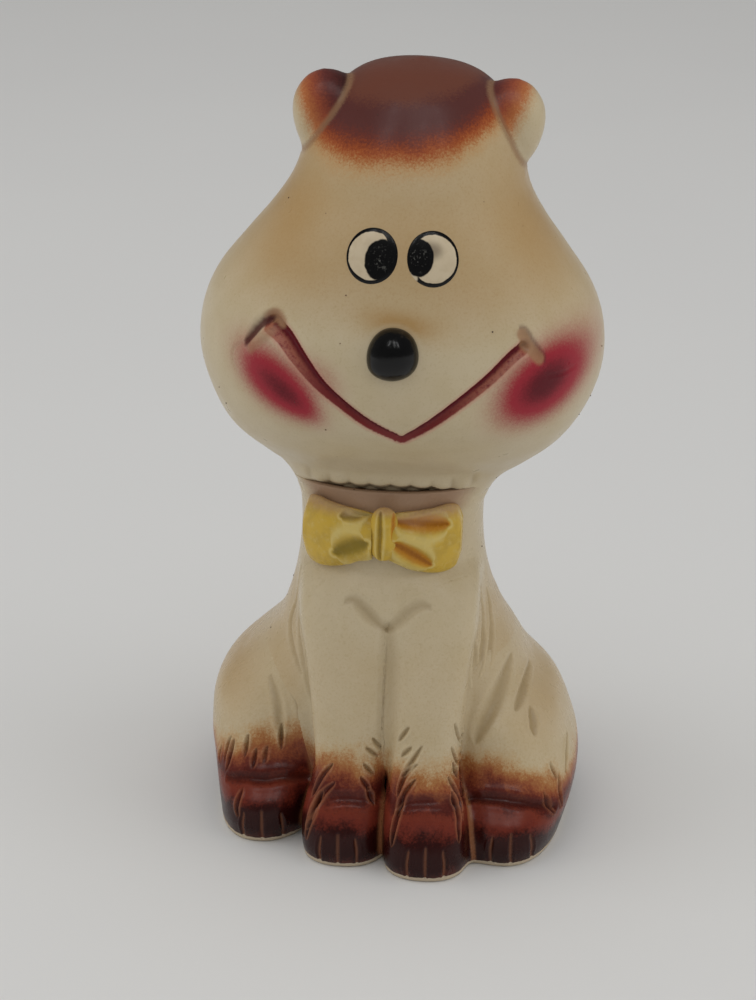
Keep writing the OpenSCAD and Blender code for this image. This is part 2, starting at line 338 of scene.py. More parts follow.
SETTLING_PASSES, SETTLING_SHARE = 10, 0.75
DEEPEST, HIGHEST = -2.5, 6.0  # how far a point may move inwards and outwards


def settle(name, grid, neighbours):
    """Moves a form's grid onto the joined surface. Where a neighbour covers it, the form runs on below."""
    form = FORMS[name]
    normals = grid_normals(grid, form.mirrored).reshape(-1, 3)
    points = grid.reshape(-1, 3)
    shift = np.zeros(len(points))
    for _ in range(SETTLING_PASSES):
        at = points + shift[:, None] * normals
        gaps = {n: FORMS[n].gap(at) for n in (name, *neighbours)}
        under = gaps[name] - np.min([gaps[n] for n in neighbours], 0)
        level = joined(gaps, at[:, 2]) + 0.06 * np.maximum(under, 0) + 1.5 * np.maximum(under - 0.6, 0)
        shift = np.clip(shift - SETTLING_SHARE * level, DEEPEST, HIGHEST)
    out = points + shift[:, None] * normals
    return out.reshape(grid.shape), under.reshape(grid.shape[:2])


# ---- strokes pressed into the clay ---------------------------------------------------------------


def curve_through(path, spacing):
    rows = smooth_rows(path, 8)
    travelled = np.concatenate([[0], np.cumsum(np.linalg.norm(np.diff(rows, axis=0), axis=1))])
    count = max(2, int(travelled[-1] / spacing) + 1)
    at = np.linspace(0, travelled[-1], count)
    return np.stack([np.interp(at, travelled, rows[:, k]) for k in range(rows.shape[1])], 1)


class Skin:
    """A piece's surface while it is worked: its points, its normals and its paint."""

    def __init__(self, grid, flip, place=None):
        self.shape = grid.shape
        self.points = grid.reshape(-1, 3)
        self.normals = grid_normals(grid, flip).reshape(-1, 3)
        self.back = np.linalg.inv(np.eye(4) if place is None else place)
        self.place = np.eye(4) if place is None else place
        self.own = carried(self.back, self.points)
        self.front = (self.normals @ self.back[:3, :3].T)[:, 1] < -0.03
        self.cut = np.zeros(len(self.points))
        self.paint = {}

    def add(self, name, amount):
        self.paint[name] = np.clip(self.paint.get(name, 0) + amount, 0, 1)

    def put(self, name, value):
        self.paint[name] = value

    def traced(self, path, spacing=0.7):
        """An (x, z) path laid on the surface's front."""
        flat = curve_through(path, spacing)
        own = self.own[self.front]
        spots = []
        for x, z in flat:
            near = np.argmin((own[:, 0] - x) ** 2 + (own[:, 2] - z) ** 2)
            spots.append([x, own[near, 1], z])
        return np.array(spots)

    def across(self, spots, reach):
        """Distance to a line on the surface, the side of it (1 above or to its left) and the share along it."""
        low, high = spots.min(0) - reach, spots.max(0) + reach
        low[1] -= reach
        high[1] += reach
        near = np.flatnonzero(np.all((self.own > low) & (self.own < high), 1) & self.front)
        p, n = self.own[near], self.normals[near] @ self.back[:3, :3].T
        best, side, along = np.full(len(near), FAR), np.zeros(len(near)), np.zeros(len(near))
        for k, (a, b) in enumerate(zip(spots, spots[1:])):
            w, s = a - p, b - a
            flat_w = w - (w * n).sum(1)[:, None] * n
            flat_s = s - (n @ s)[:, None] * n
            t = np.clip(-(flat_w * flat_s).sum(1) / np.maximum((flat_s**2).sum(1), 1e-9), 0, 1)
            d = flat_w + t[:, None] * flat_s
            length = np.linalg.norm(d, axis=1)
            closer = length < best
            best = np.where(closer, length, best)
            turn = np.sign((np.cross(flat_s, -flat_w) * n).sum(1))
            side = np.where(closer, turn, side)
            along = np.where(closer, (k + t) / (len(spots) - 1), along)
        return near, best, side, along

    def blank(self, labels):
        for label in labels:
            self.put(label, np.zeros(len(self.points)))

    def groove(self, path, width, depth, taper=0.5, ridge=0.0, hollow_paint=None, strength=1.0, crest=None):
        """Presses a rounded groove along a path. taper thins its two ends, and ridge is the burr beside it.

        The two paint arguments name what is painted in the groove, mostly painted shade, and on the burr, a
        painted highlight.
        """
        near, gap, _, along = self.across(self.traced(path), width * 3)
        ends = 1 - taper + taper * np.sqrt(np.clip(1 - (2 * along - 1) ** 2, 0, 1))
        half = width / 2 * ends
        u = gap / half
        hollow = np.clip(1 - u**2, 0, 1) ** 1.4
        burr = np.exp(-((u - 1.45) / 0.45) ** 2)
        self.cut[near] += depth * ends * hollow - ridge * ends * burr
        for label, share in ((hollow_paint, np.clip(1.15 - u, 0, 1)), (crest, burr)):
            if label:
                amount = np.zeros(len(self.points))
                amount[near] = strength * share
                self.add(label, amount)

    def swell(self, centre, radii, height):
        """Raises a soft oval round a point in the skin's own space."""
        d = (self.own - np.array(centre)) / np.array(radii)
        self.cut -= height * np.exp(-(d**2).sum(1))

    def worked(self):
        out = self.points - self.cut[:, None] * self.normals
        return out.reshape(self.shape)


def smoothstep(low, high, value):
    t = np.clip((value - low) / (high - low), 0, 1)
    return t * t * (3 - 2 * t)


# ---- meshes --------------------------------------------------------------------------------------


def grid_faces(rows, columns, wrap):
    r = np.arange(rows if wrap else rows - 1)[:, None]
    c = np.arange(columns)[None]
    a, b = r * columns + c, r * columns + (c + 1) % columns
    up = ((r + 1) % rows) * columns
    return np.stack([a, b, up + (c + 1) % columns, up + c], -1).reshape(-1, 4)


def pole_faces(ring, pole, upward):
    following = np.roll(ring, -1)
    order = (ring, following) if upward else (following, ring)
    return np.stack([*order, np.full(len(ring), pole)], 1)


def new_piece(name, vertices, quads, triangles, flip, paint, material, nodes):
    """Makes a mesh piece in metres, gives it paint attributes and hands it to the frame."""
    mesh = bpy.data.meshes.new(name)
    loops = [np.asarray(quads, np.int32).reshape(-1, 4), np.asarray(triangles, np.int32).reshape(-1, 3)]
    if flip:
        loops = [f[:, ::-1] for f in loops]
    sizes = np.concatenate([np.full(len(loops[0]), 4), np.full(len(loops[1]), 3)])
    mesh.vertices.add(len(vertices))
    mesh.vertices.foreach_set("co", (vertices * MM).astype(np.float32).ravel())
    corners = np.concatenate([f.ravel() for f in loops])
    mesh.loops.add(len(corners))
    mesh.loops.foreach_set("vertex_index", corners)
    mesh.polygons.add(len(sizes))
    mesh.polygons.foreach_set("loop_start", np.concatenate([[0], np.cumsum(sizes)[:-1]]))
    mesh.polygons.foreach_set("use_smooth", np.ones(len(sizes), bool))
    mesh.update(calc_edges=True)
    mesh.validate()
    for label, values in paint.items():
        store(mesh, label, values)
    mesh.materials.append(material)
    piece = bpy.data.objects.new(name, mesh)
    bpy.context.scene.collection.objects.link(piece)
    hand_over(piece, nodes)


def store(mesh, label, values):
    attribute = mesh.attributes.new(label, "FLOAT", "POINT")
    attribute.data.foreach_set("value", np.asarray(values, np.float32))


def hand_over(piece, nodes):
    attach(piece, BODY)
    if nodes:
        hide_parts(*nodes)


def closed_by_poles(grid):
    """Vertices and faces of a grid whose first and last rings close on a point."""
    rows, columns = grid.shape[:2]
    flat = grid.reshape(-1, 3)
    vertices = np.vstack([flat, grid[0].mean(0), grid[-1].mean(0)])
    first, last = np.arange(columns), (rows - 1) * columns + np.arange(columns)
    triangles = np.vstack([pole_faces(first, len(flat), False), pole_faces(last, len(flat) + 1, True)])
    return vertices, grid_faces(rows, columns, False), triangles


def with_pole_paint(paint, grid_shape):
    """Adds the two pole points' paint to each attribute."""
    rows, columns = grid_shape[:2]
    out = {}
    for label, values in paint.items():
        v = np.broadcast_to(np.asarray(values, float), (rows * columns,))
        out[label] = np.concatenate([v, [v[:columns].mean(), v[-columns:].mean()]])
    return out


def shrunk(ring, share):
    middle = ring.mean(0)
    return middle + (ring - middle) * share


def footed(grid):
    """Sets the first ring on the table and adds the rings of a flat sole inside it."""
    grid = grid.copy()
    grid[..., 2] = np.maximum(grid[..., 2], 0)
    grid[0, :, 2] = 0
    sole = np.stack([shrunk(grid[0], s) for s in (0.05, 0.5, 0.97)])
    return np.concatenate([sole, grid]), len(sole)


def padded_paint(paint, before, columns, after=0):
    """Repeats the paint of the end rings over rings that were added."""
    out = {}
    for label, v in paint.items():
        rows = np.asarray(v, float).reshape(-1, columns)
        out[label] = np.concatenate([np.repeat(rows[:1], before, 0), rows,
                                     np.repeat(rows[-1:], after, 0)]).ravel()
    return out


# ---- shader maths --------------------------------------------------------------------------------


class Wire:
    """A shader socket for Python arithmetic. Each operation adds a Math node."""

    def __init__(self, finish, socket):
        self.finish, self.socket = finish, socket

    def _math(self, operation, *terms):
        return self.finish.add("ShaderNodeMath", {"operation": operation}, dict(enumerate(terms)))

    def __add__(self, other):
        return self._math("ADD", self, other)

    __radd__ = __add__

    def __sub__(self, other):
        return self._math("SUBTRACT", self, other)

    def __rsub__(self, other):
        return self._math("SUBTRACT", other, self)

    def __mul__(self, other):
        return self._math("MULTIPLY", self, other)

    __rmul__ = __mul__

    def __truediv__(self, other):
        return self._math("DIVIDE", self, other)

    def most(self, other):
        return self._math("MAXIMUM", self, other)

    def within(self, low, high):
        return self._math("MINIMUM", self.most(low), high)

    def size(self):
        return self._math("ABSOLUTE", self)

    def root(self):
        return self._math("SQRT", self)

    def rise(self, low, high):
        """0 below low and 1 above high, with a soft step between."""
        return self.finish.add("ShaderNodeMapRange", {"interpolation_type": "SMOOTHSTEP"},
                               {"Value": self, "From Min": low, "From Max": high})

    def fall(self, low, high):
        return 1 - self.rise(low, high)


class Finish:
    """A node material in the making."""

    def __init__(self, name):
        self.material = bpy.data.materials.new(name)
        self.material.use_nodes = True
        self.tree = self.material.node_tree
        self.tree.nodes.clear()
        self.place = Wire(self, self.tree.nodes.new("ShaderNodeTexCoord").outputs["Object"])

    def add(self, kind, settings=None, inputs=None, output=0):
        """Adds a node: its settings first, then its sockets' values or links. Returns one of its outputs."""
        node = self.tree.nodes.new(kind)
        for key, value in (settings or {}).items():
            if key == "stops":
                self.set_stops(node.color_ramp, value)
            else:
                setattr(node, key, value)
        for key, value in (inputs or {}).items():
            socket = node.inputs[key] if isinstance(key, int) else self.named(node.inputs, key)
            if isinstance(value, Wire):
                self.tree.links.new(value.socket, socket)
            else:
                socket.default_value = value
        out = node.outputs[output] if isinstance(output, int) else self.named(node.outputs, output)
        return Wire(self, out)

    @staticmethod
    def named(sockets, key):
        return next(s for s in sockets if key in (s.identifier, s.name))

    @staticmethod
    def set_stops(ramp, stops):
        while len(ramp.elements) < len(stops):
            ramp.elements.new(1.0)
        for element, (at, colour) in zip(ramp.elements, sorted(stops, key=lambda s: s[0])):
            element.position = at
            element.color = colour

    def attribute(self, name):
        return self.add("ShaderNodeAttribute", {"attribute_name": name}, output="Fac")

    def noise(self, size_mm, detail=2.0, roughness=0.5, stretch=None):
        """A cloud pattern whose patches are about size_mm across, from 0 to 1."""
        place = self.place
        if stretch:
            place = self.add("ShaderNodeMapping", {}, {"Vector": place, "Scale": stretch})
        return self.add("ShaderNodeTexNoise", {}, {
            "Vector": place, "Scale": 1 / (size_mm * MM), "Detail": detail, "Roughness": roughness})

    def mix(self, amount, under, over):
        return self.add("ShaderNodeMix", {"data_type": "RGBA"}, {
            "Factor_Float": amount, "A_Color": under, "B_Color": over}, "Result_Color")

    def ramp(self, value, stops):
        return self.add("ShaderNodeValToRGB", {"stops": stops}, {"Fac": value})

    def bump(self, height, depth_mm):
        return self.add("ShaderNodeBump", {}, {"Height": height, "Distance": depth_mm * MM, "Strength": 1.0})

    def close(self, colour, roughness, normal=None, **constants):
        """Adds the surface shader. constants go straight on its own sockets."""
        inputs = {"Base Color": colour, "Roughness": roughness}
        if normal:
            inputs["Normal"] = normal
        inputs.update({key.replace("_", " "): value for key, value in constants.items()})
        surface = self.add("ShaderNodeBsdfPrincipled", {}, inputs)
        out = self.tree.nodes.new("ShaderNodeOutputMaterial")
        self.tree.links.new(surface.socket, out.inputs["Surface"])
        return self.material


def tint(red, green, blue):
    """A display colour, 0 to 255, as linear light."""
    linear = [v / 12.92 if v <= 0.04045 else ((v + 0.055) / 1.055) ** 2.4
              for v in (red / 255, green / 255, blue / 255)]
    return (*linear, 1.0)


# ---- settings a user would change ----------------------------------------------------------------


def colour_setting(name, description, red, green, blue):
    return bpy.props.FloatVectorProperty(name=name, description=description, default=tint(red, green, blue),
                                         size=4, subtype="COLOR", min=0, max=1)


def length_setting(name, description, default_mm):
    return bpy.props.FloatProperty(name=name, description=description, default=default_mm * MM, min=0,
                                   subtype="DISTANCE", unit="LENGTH")


class GlazeColours(bpy.types.PropertyGroup):
    cream: colour_setting("Cream", "Clear glaze over the pale body", 198, 183, 153)
    tan: colour_setting("Tan", "Thin airbrushed ochre", 172, 136, 84)
    rust: colour_setting("Rust", "Grainy edge of the brown spray", 160, 82, 42)
    umber: colour_setting("Umber", "Brown of the cap and the ears", 92, 50, 46)
    paw_light: colour_setting("Paw highlight", "Red brown on top of the paws", 116, 48, 32)
    paw_dark: colour_setting("Paw shadow", "Dark brown of the toes", 48, 13, 10)
    blush: colour_setting("Blush", "Crimson of the cheeks", 152, 18, 44)
    lip: colour_setting("Lip", "Burgundy in the mouth groove", 92, 16, 26)
    yellow: colour_setting("Yellow", "Glaze of the bow tie", 200, 166, 66)
    # Olive and amber are pooled glaze in the bow's folds, with painted shade in them too.
    olive: colour_setting("Olive", "Pooled glaze on the bow's right loop", 118, 100, 26)
    amber: colour_setting("Amber", "Pooled glaze on the bow's left loop", 142, 82, 12)
    black: colour_setting("Black", "Nose, pupils and eye outlines", 6, 6, 7)
    white: colour_setting("White", "Eye discs", 204, 188, 160)
    clay: colour_setting("Bare clay", "Unglazed underside and foot rim", 196, 180, 156)


class CarvingSizes(bpy.types.PropertyGroup):
    mouth_depth: length_setting("Mouth depth", "Depth of the smile groove", 1.0)
    crease_depth: length_setting("Crease depth", "Depth of the chest and ankle creases", 0.8)
    hair_depth: length_setting("Hair depth", "Depth of the tooled hair strokes", 0.55)
    eye_relief: length_setting("Eye relief", "How far the eye discs stand off the face", 0.8)
    peel: length_setting("Glaze ripple", "Height of the ripple in the glaze", 0.05)
    tufts: bpy.props.IntProperty(name="Tufts", description="Hair tufts along the chin's lower edge",
                                 default=9, min=3, max=20)
    specks: bpy.props.IntProperty(name="Specks", description="Iron specks on each 100 square centimetres of glaze",
                                  default=26, min=0, max=300)


class StudioSettings(bpy.types.PropertyGroup):
    floor: colour_setting("Floor", "Seamless paper under the figurine", 226, 226, 225)
    overhead: bpy.props.FloatProperty(name="Overhead", description="Power of the large soft light above",
                                      default=10.0, min=0, unit="POWER")
    window: bpy.props.FloatProperty(name="Window", description="Power of each narrow window strip",
                                    default=1.2, min=0, unit="POWER")
    side: bpy.props.FloatProperty(name="Sides", description="Power of the soft light on each side",
                                  default=3.0, min=0, unit="POWER")
    ambient: bpy.props.FloatProperty(name="Ambient", description="Brightness of the surrounding room",
                                     default=0.46, min=0)


def settings():
    scene = bpy.context.scene
    return scene.figurine_glazes, scene.figurine_carving, scene.figurine_studio


def glazes_and_sizes():
    return settings()[:2]


# ---- glazes --------------------------------------------------------------------------------------


SATIN, GLOSS = 0.22, 0.3  # how strongly each glaze mirrors the room


def cream_ground(f, c):
    """The mottled cream under every sprayed colour, with fine grain and tan haze."""
    cloud = f.noise(9, 3, 0.6)
    grain = f.noise(0.5, 2, 0.7)
    base = f.mix(cloud.rise(0.35, 0.7) * 0.35, c.cream, tint(186, 168, 130))
    base = f.mix(grain.rise(0.52, 0.72) * 0.25, base, tint(168, 148, 112))
    haze = (f.attribute("tan") + (grain - 0.5) * 0.25) * f.attribute("tan").rise(0.0, 0.15)
    return f.mix(haze.within(0, 0.9), base, c.tan)


def glaze_bump(f, sizes, strength=1.0):
    ripple = f.noise(2.4, 2, 0.5) * 0.6 + f.noise(0.8, 2, 0.6) * 0.28 + f.noise(0.3, 1, 0.5) * 0.06
    return f.bump(ripple, sizes.peel / MM * strength)


def glaze_roughness(f, base=0.27):
    return f.noise(3, 2, 0.6).rise(0.2, 0.8) * 0.1 + base


def fine_grain(f, size_mm):
    """The sprayed dots' pattern, from -0.5 to 0.5."""
    return f.noise(size_mm, 3, 0.75) - 0.5


def joint_stripe(f, colour, grain):
    """The speckled tan stripe where an ear was luted on."""
    seam = f.attribute("seam") + grain * 0.9 * f.attribute("seam").rise(0, 0.3)
    return f.mix(seam.rise(0.2, 1.0) * 0.7, colour, tint(146, 112, 82))


def wiped_rim(f, c, colour):
    """Bare clay along the foot, where the glaze was wiped off: the colour, and the share that is bare."""
    bare = (f.attribute("rim") + (f.noise(2.2, 3, 0.7) - 0.5) * 0.9).rise(0.4, 0.5)
    return f.mix(bare, colour, c.clay), bare


def shaded_creases(f, colour):
    """Painted shade in the creases, and painted highlights on the pale crests beside them."""
    colour = f.mix(f.attribute("line").within(0, 1) * 0.75, colour, tint(120, 96, 62))
    return f.mix(f.attribute("crest").within(0, 1) * 0.4, colour, tint(206, 190, 160))


def head_glaze(c, sizes):
    f = Finish("cream_head_glaze")
    colour = cream_ground(f, c)
    grain = fine_grain(f, 0.45)
    soft = f.noise(5, 2, 0.5) - 0.5
    cap = f.attribute("cap") + grain * 0.5 + soft * 0.16
    sprayed = f.ramp(cap, [
        (0.0, tint(186, 142, 90)), (0.12, tint(172, 112, 62)), (0.24, c.rust), (0.35, tint(136, 64, 36)),
        (0.46, tint(108, 52, 42)), (0.6, c.umber), (0.85, tint(90, 48, 44)), (1.0, tint(108, 62, 48))])
    colour = f.mix(cap.rise(-0.26, 0.24), colour, sprayed)
    colour = joint_stripe(f, shaded_creases(f, colour), grain)
    blush = f.attribute("blush") + grain * f.attribute("blush").rise(0.0, 0.3) * 0.3
    colour = f.mix(blush.rise(0.04, 0.72) * 0.97, colour, c.blush)
    colour = f.mix(blush.rise(0.7, 1.1) * 0.9, colour, tint(80, 6, 20))
    inside, level = f.attribute("mouth"), f.attribute("mouth_level")
    streak = f.noise(0.9, 3, 0.7)
    warm = f.attribute("mouth_warm") * streak.rise(0.25, 0.6)
    # The groove's lower side is painted lighter than its burgundy upper side: partly the paint's own tones, partly
    # a painted highlight where that side faces up to the light.
    lower = f.mix(warm, tint(124, 44, 44), tint(166, 100, 80))
    groove = f.mix((level + (streak - 0.5) * 0.8).rise(-0.35, 0.25), lower, c.lip)
    colour = f.mix(inside.rise(-0.8, 0.0) * 0.5, colour, tint(196, 140, 122))
    colour = f.mix((inside + grain * 0.3).rise(-0.08, 0.2), colour, groove)
    colour = f.mix(f.attribute("fold").within(0, 1) * 0.85, colour, tint(158, 120, 88))
    colour = f.mix(f.attribute("stroke").within(0, 1) * 0.9, colour, tint(78, 30, 30))
    return f.close(colour, glaze_roughness(f), glaze_bump(f, sizes), Specular_IOR_Level=SATIN)


def body_glaze(c, sizes):
    f = Finish("cream_body_glaze")
    colour = cream_ground(f, c)
    grain = fine_grain(f, 0.5)
    streak = f.noise(2.2, 2, 0.5, stretch=(1, 1, 0.35)) - 0.5
    cloud = f.noise(7, 2, 0.5) - 0.5
    paw = f.attribute("paw") + grain * 0.26 + streak * 0.14 + cloud * 0.34
    # The ramp holds the sprayed brown and painted light: the lighter red brown on top of the paws is a painted
    # highlight, and the darkest brown of the toes is partly painted shade.
    sprayed = f.ramp(paw, [
        (0.0, tint(184, 148, 100)), (0.1, tint(164, 112, 66)), (0.19, tint(140, 76, 46)),
        (0.29, tint(98, 40, 30)), (0.38, tint(76, 26, 20)), (0.46, c.paw_light), (0.55, tint(108, 42, 30)),
        (0.66, c.paw_dark), (0.9, tint(40, 9, 7)), (1.0, tint(78, 34, 26))])
    colour = f.mix(paw.rise(-0.12, 0.12), colour, sprayed)
    missed = (f.attribute("crevice") + grain * 0.6).rise(0.3, 0.9) * 0.8 * paw.rise(0.0, 0.2)
    colour = f.mix(missed, colour, tint(150, 98, 64))
    # Painted shade in the grooves, near black on the paws, and painted highlights on the crests beside them.
    dark = f.attribute("line").within(0, 1) * 0.8
    line = f.mix(paw.rise(-0.1, 0.2), tint(138, 114, 72), tint(50, 16, 12))
    colour = f.mix(dark, colour, line)
    crest = f.mix(paw.rise(0.0, 0.25), tint(206, 190, 156), tint(168, 108, 76))
    colour = f.mix(f.attribute("crest").within(0, 1) * 0.55, colour, crest)
    colour = f.mix(f.attribute("strip") * 0.8, colour, tint(160, 124, 100))
    colour = f.mix(f.attribute("shade") * 0.6, colour, tint(112, 88, 70))
    colour, bare = wiped_rim(f, c, colour)
    rough = glaze_roughness(f, 0.24) + bare * 0.4
    return f.close(colour, rough, glaze_bump(f, sizes), Specular_IOR_Level=SATIN)


def ear_glaze(c, sizes):
    f = Finish("brown_ear_glaze")
    colour = cream_ground(f, c)
    grain = fine_grain(f, 0.45)
    depth = f.attribute("cap") + grain * 0.4
    sprayed = f.ramp(depth, [(0.0, tint(190, 152, 102)), (0.25, tint(178, 108, 62)), (0.48, tint(146, 72, 48)),
                             (0.72, tint(98, 46, 42)), (1.0, tint(62, 28, 26))])
    colour = f.mix(depth.rise(-0.12, 0.3), colour, sprayed)
    colour = joint_stripe(f, colour, grain)
    return f.close(colour, glaze_roughness(f), glaze_bump(f, sizes), Specular_IOR_Level=SATIN)


def tail_glaze(c, sizes):
    f = Finish("brown_tail_glaze")
    grain = fine_grain(f, 0.5)
    level = f.attribute("paw") + grain * 0.25
    colour = f.ramp(level, [
        (0.0, tint(128, 76, 54)), (0.4, c.paw_light), (0.7, tint(84, 32, 26)), (1.0, c.paw_dark)])
    colour = f.mix(f.attribute("line").within(0, 1) * 0.6, colour, tint(60, 24, 22))
    colour, bare = wiped_rim(f, c, colour)
    return f.close(colour, glaze_roughness(f) + bare * 0.4, glaze_bump(f, sizes), Specular_IOR_Level=SATIN)


def nose_glaze(c, sizes):
    f = Finish("black_nose_glaze")
    # Grey-brown mottling painted round the nose's edge: a painted reflection.
    edge_reflection = f.noise(1.1, 3, 0.7).rise(0.56, 0.72) * f.attribute("rim")
    colour = f.mix(edge_reflection * 0.5, c.black, tint(70, 60, 50))
    return f.close(colour, f.noise(1.5, 2, 0.6) * 0.16 + 0.12, glaze_bump(f, sizes, 1.4),
                   Specular_IOR_Level=GLOSS)


EYE_LINE = 0.55  # width of the brushed outline
# For each side: how much the outline thickens towards the nose, the pupil's middle (inwards, up) and half
# sizes, the middle of the spot that the outline misses, and the strength of the soft grey patch on the white
EYE_LOOKS = {
    -1: {"inner_line": 1.5, "pupil": (2.0, -0.6), "pupil_half": (3.4, 4.1), "missed": None, "grey_patch": 0.12},
    1: {"inner_line": 0.5, "pupil": (2.9, 0.3), "pupil_half": (3.0, 3.8), "missed": (-4.5, -3.7),
        "grey_patch": 0.7},
}


def length(u, v):
    return (u * u + v * v).root()


def eye_glaze(name, c, sizes, side):
    """A cream disc with a brushed black outline and a pupil that looks at the nose."""
    look = EYE_LOOKS[side]
    f = Finish(name)
    u, v = f.attribute("across"), f.attribute("upward")
    wobble = f.noise(1.7, 3, 0.6) - 0.5
    radius = length(u, v)
    inner = -side
    ring_width = (u * inner).rise(1.6, 4.4) * look["inner_line"] + v.size().rise(2, 5) * 0.25 + EYE_LINE
    outline = (radius + wobble * 0.6 - (EYE_HEIGHT / 2 - 0.15 - ring_width)).rise(-0.08, 0.12)
    pupil_x, pupil_y = inner * look["pupil"][0], look["pupil"][1]
    wide, tall = look["pupil_half"]
    round_pupil = length((u - pupil_x) / wide, (v - pupil_y) / tall)
    pupil = (round_pupil + wobble * 0.2).fall(0.94, 1.03)
    if look["missed"]:
        gap = length(u - look["missed"][0], v - look["missed"][1]).fall(0.9, 1.4)
        outline = outline * (1 - gap)
    # Grey flecks in the pupils: painted reflections.
    pupil_glints = f.noise(0.45, 2, 0.6).rise(0.55, 0.66) * f.noise(1.6, 2, 0.6).rise(0.4, 0.6)
    dark = f.mix(pupil_glints * round_pupil.fall(0.3, 0.95) * 0.5, c.black, tint(112, 112, 106))
    # A soft grey-brown patch painted on the white above the pupil.
    grey_patch = length((u - pupil_x * 0.1) / 3.4, (v - 1.6) / 2.6).fall(0.2, 1.0)
    white = f.mix(f.noise(2.5, 2, 0.6).rise(0.4, 0.7) * 0.4, c.white, tint(186, 168, 138))
    white = f.mix(grey_patch * look["grey_patch"], white, tint(112, 98, 82))
    colour = f.mix(outline.most(pupil), white, dark)
    colour = f.mix(f.attribute("rim"), colour, tint(166, 146, 112))
    return f.close(colour, f.noise(2, 2, 0.6) * 0.1 + 0.2, glaze_bump(f, sizes, 0.8),
                   Specular_IOR_Level=GLOSS)


def bow_glaze(c, sizes):
    f = Finish("yellow_bow_glaze")
    cloud = f.noise(3.2, 3, 0.6)
    colour = f.mix(cloud.rise(0.4, 0.7) * 0.6, c.yellow, tint(176, 146, 66))
    colour = f.mix(f.noise(1.4, 2, 0.6).rise(0.5, 0.75) * 0.35, colour, tint(204, 186, 122))
    grain = f.noise(0.6, 2, 0.7) - 0.5
    # Pooled olive and amber glaze in the folds and beside the knot, with painted shade in it.
    colour = f.mix((f.attribute("olive") + grain * 0.3).rise(0.05, 0.95) * 0.8, colour, c.olive)
    colour = f.mix((f.attribute("amber") + grain * 0.3).rise(0.05, 0.7) * 0.85, colour, tint(182, 116, 22))
    colour = f.mix((f.attribute("amber") + grain * 0.4).rise(0.6, 1.1) * 0.8, colour, c.amber)
    # Painted highlights on the loops' rims and on the burrs.
    colour = f.mix(f.attribute("crest").within(0, 1) * 0.5, colour, tint(220, 204, 138))
    colour = f.mix(f.attribute("blend") * (0.7 + grain), colour, tint(182, 146, 116))
    # Painted shade in the knot's groove.
    colour = f.mix(f.attribute("line").within(0, 1) * 0.65, colour, tint(116, 92, 28))
    return f.close(colour, glaze_roughness(f, 0.2), glaze_bump(f, sizes), Specular_IOR_Level=SATIN)


def tuft_glaze(c, sizes):
    f = Finish("cream_tuft_glaze")
    grain = f.noise(0.6, 2, 0.7)
    colour = f.mix(grain.rise(0.4, 0.7) * 0.4, c.cream, tint(186, 166, 132))
    return f.close(colour, glaze_roughness(f), glaze_bump(f, sizes), Specular_IOR_Level=SATIN)


def bare_clay(c):
    f = Finish("bare_clay")
    grit = f.noise(0.8, 4, 0.7)
    colour = f.mix(grit.rise(0.35, 0.7), c.clay, tint(178, 160, 134))
    colour = f.mix(f.noise(12, 3, 0.6).rise(0.5, 0.75) * 0.5, colour, tint(168, 148, 120))
    return f.close(colour, grit * 0.15 + 0.75, f.bump(grit, 0.12))


def speck_glaze():
    f = Finish("iron_speck")
    colour = f.mix(f.noise(20, 1, 0.5).rise(0.4, 0.6), tint(62, 44, 34), tint(112, 84, 56))
    return f.close(colour, f.noise(1, 1, 0.5) * 0.1 + 0.3)


# ---- paint ---------------------------------------------------------------------------------------


def oval(x, z, centre, along, long_half, short_half):
    """1 at the middle of a slanted oval, falling away softly. along is the long axis's slope in degrees."""
    a = math.radians(along)
    dx, dz = x - centre[0], z - centre[1]
    u = (dx * math.cos(a) + dz * math.sin(a)) / long_half
    v = (-dx * math.sin(a) + dz * math.cos(a)) / short_half
    return np.exp(-(u**2 + v**2))


def ovals(x, z, table):
    return sum(amount * oval(x, z, *shape) for amount, *shape in table)


# Lower edge of the brown cap across the forehead, how much lower it is behind, and the height it deepens over
CAP_EDGE = [
    (-20, 149.5), (-17, 148), (-12, 147), (-4.5, 147), (2, 147.5), (9, 149), (14, 151.5), (18, 154.5),
    (22, 158),
]
CAP_BACK_DROP, CAP_SPREAD = 9.0, 13.0
# Soft ovals: strength, middle, slope of the long axis, long half and short half
BLUSH = [
    (0.84, (-24.4, 105.6), -42, 9.4, 6.0), (0.42, (-18, 101.2), -36, 6.5, 3.2),
    (0.3, (-13.5, 107.8), -40, 6.5, 4), (1.1, (30.4, 107), 40, 10.8, 7.2),
]
TAN_HAZE = [
    (0.8, (1.2, NOSE_Z + 5.6), -8, 7.5, 2.6), (0.3, (1, 132), 0, 17, 9), (0.4, (-22, 137), 60, 12, 6),
    (0.4, (27, 134), -60, 14, 6), (0.3, (-20, 126), 0, 12, 6), (0.25, (16, 124), 0, 12, 6),
]


def paint_head(skin, under):
    x, y, z = skin.own.T
    edge = np.interp(x, *zip(*CAP_EDGE)) - CAP_BACK_DROP * smoothstep(-8, 22, y)
    skin.put("cap", np.clip((z - edge) / CAP_SPREAD, -1, 1.2))
    skin.put("seam", np.exp(-(under / 1.2) ** 2) * smoothstep(139, 146, z))
    front = smoothstep(4, -8, y)
    skin.put("blush", front * ovals(x, z, BLUSH))
    haze = ovals(x, z, TAN_HAZE) + 0.4 * smoothstep(108, 142, z)
    skin.put("tan", front * haze + 0.4 * (1 - front) * smoothstep(95, 140, z))
    # A pale ring painted round the nose: partly pale glaze at its edge, partly a painted highlight.
    nose_gap = np.hypot(x, z - NOSE_Z) - NOSE_WIDTH / 2
    skin.add("crest", 0.9 * front * np.exp(-((nose_gap - 0.35) / 0.5) ** 2))


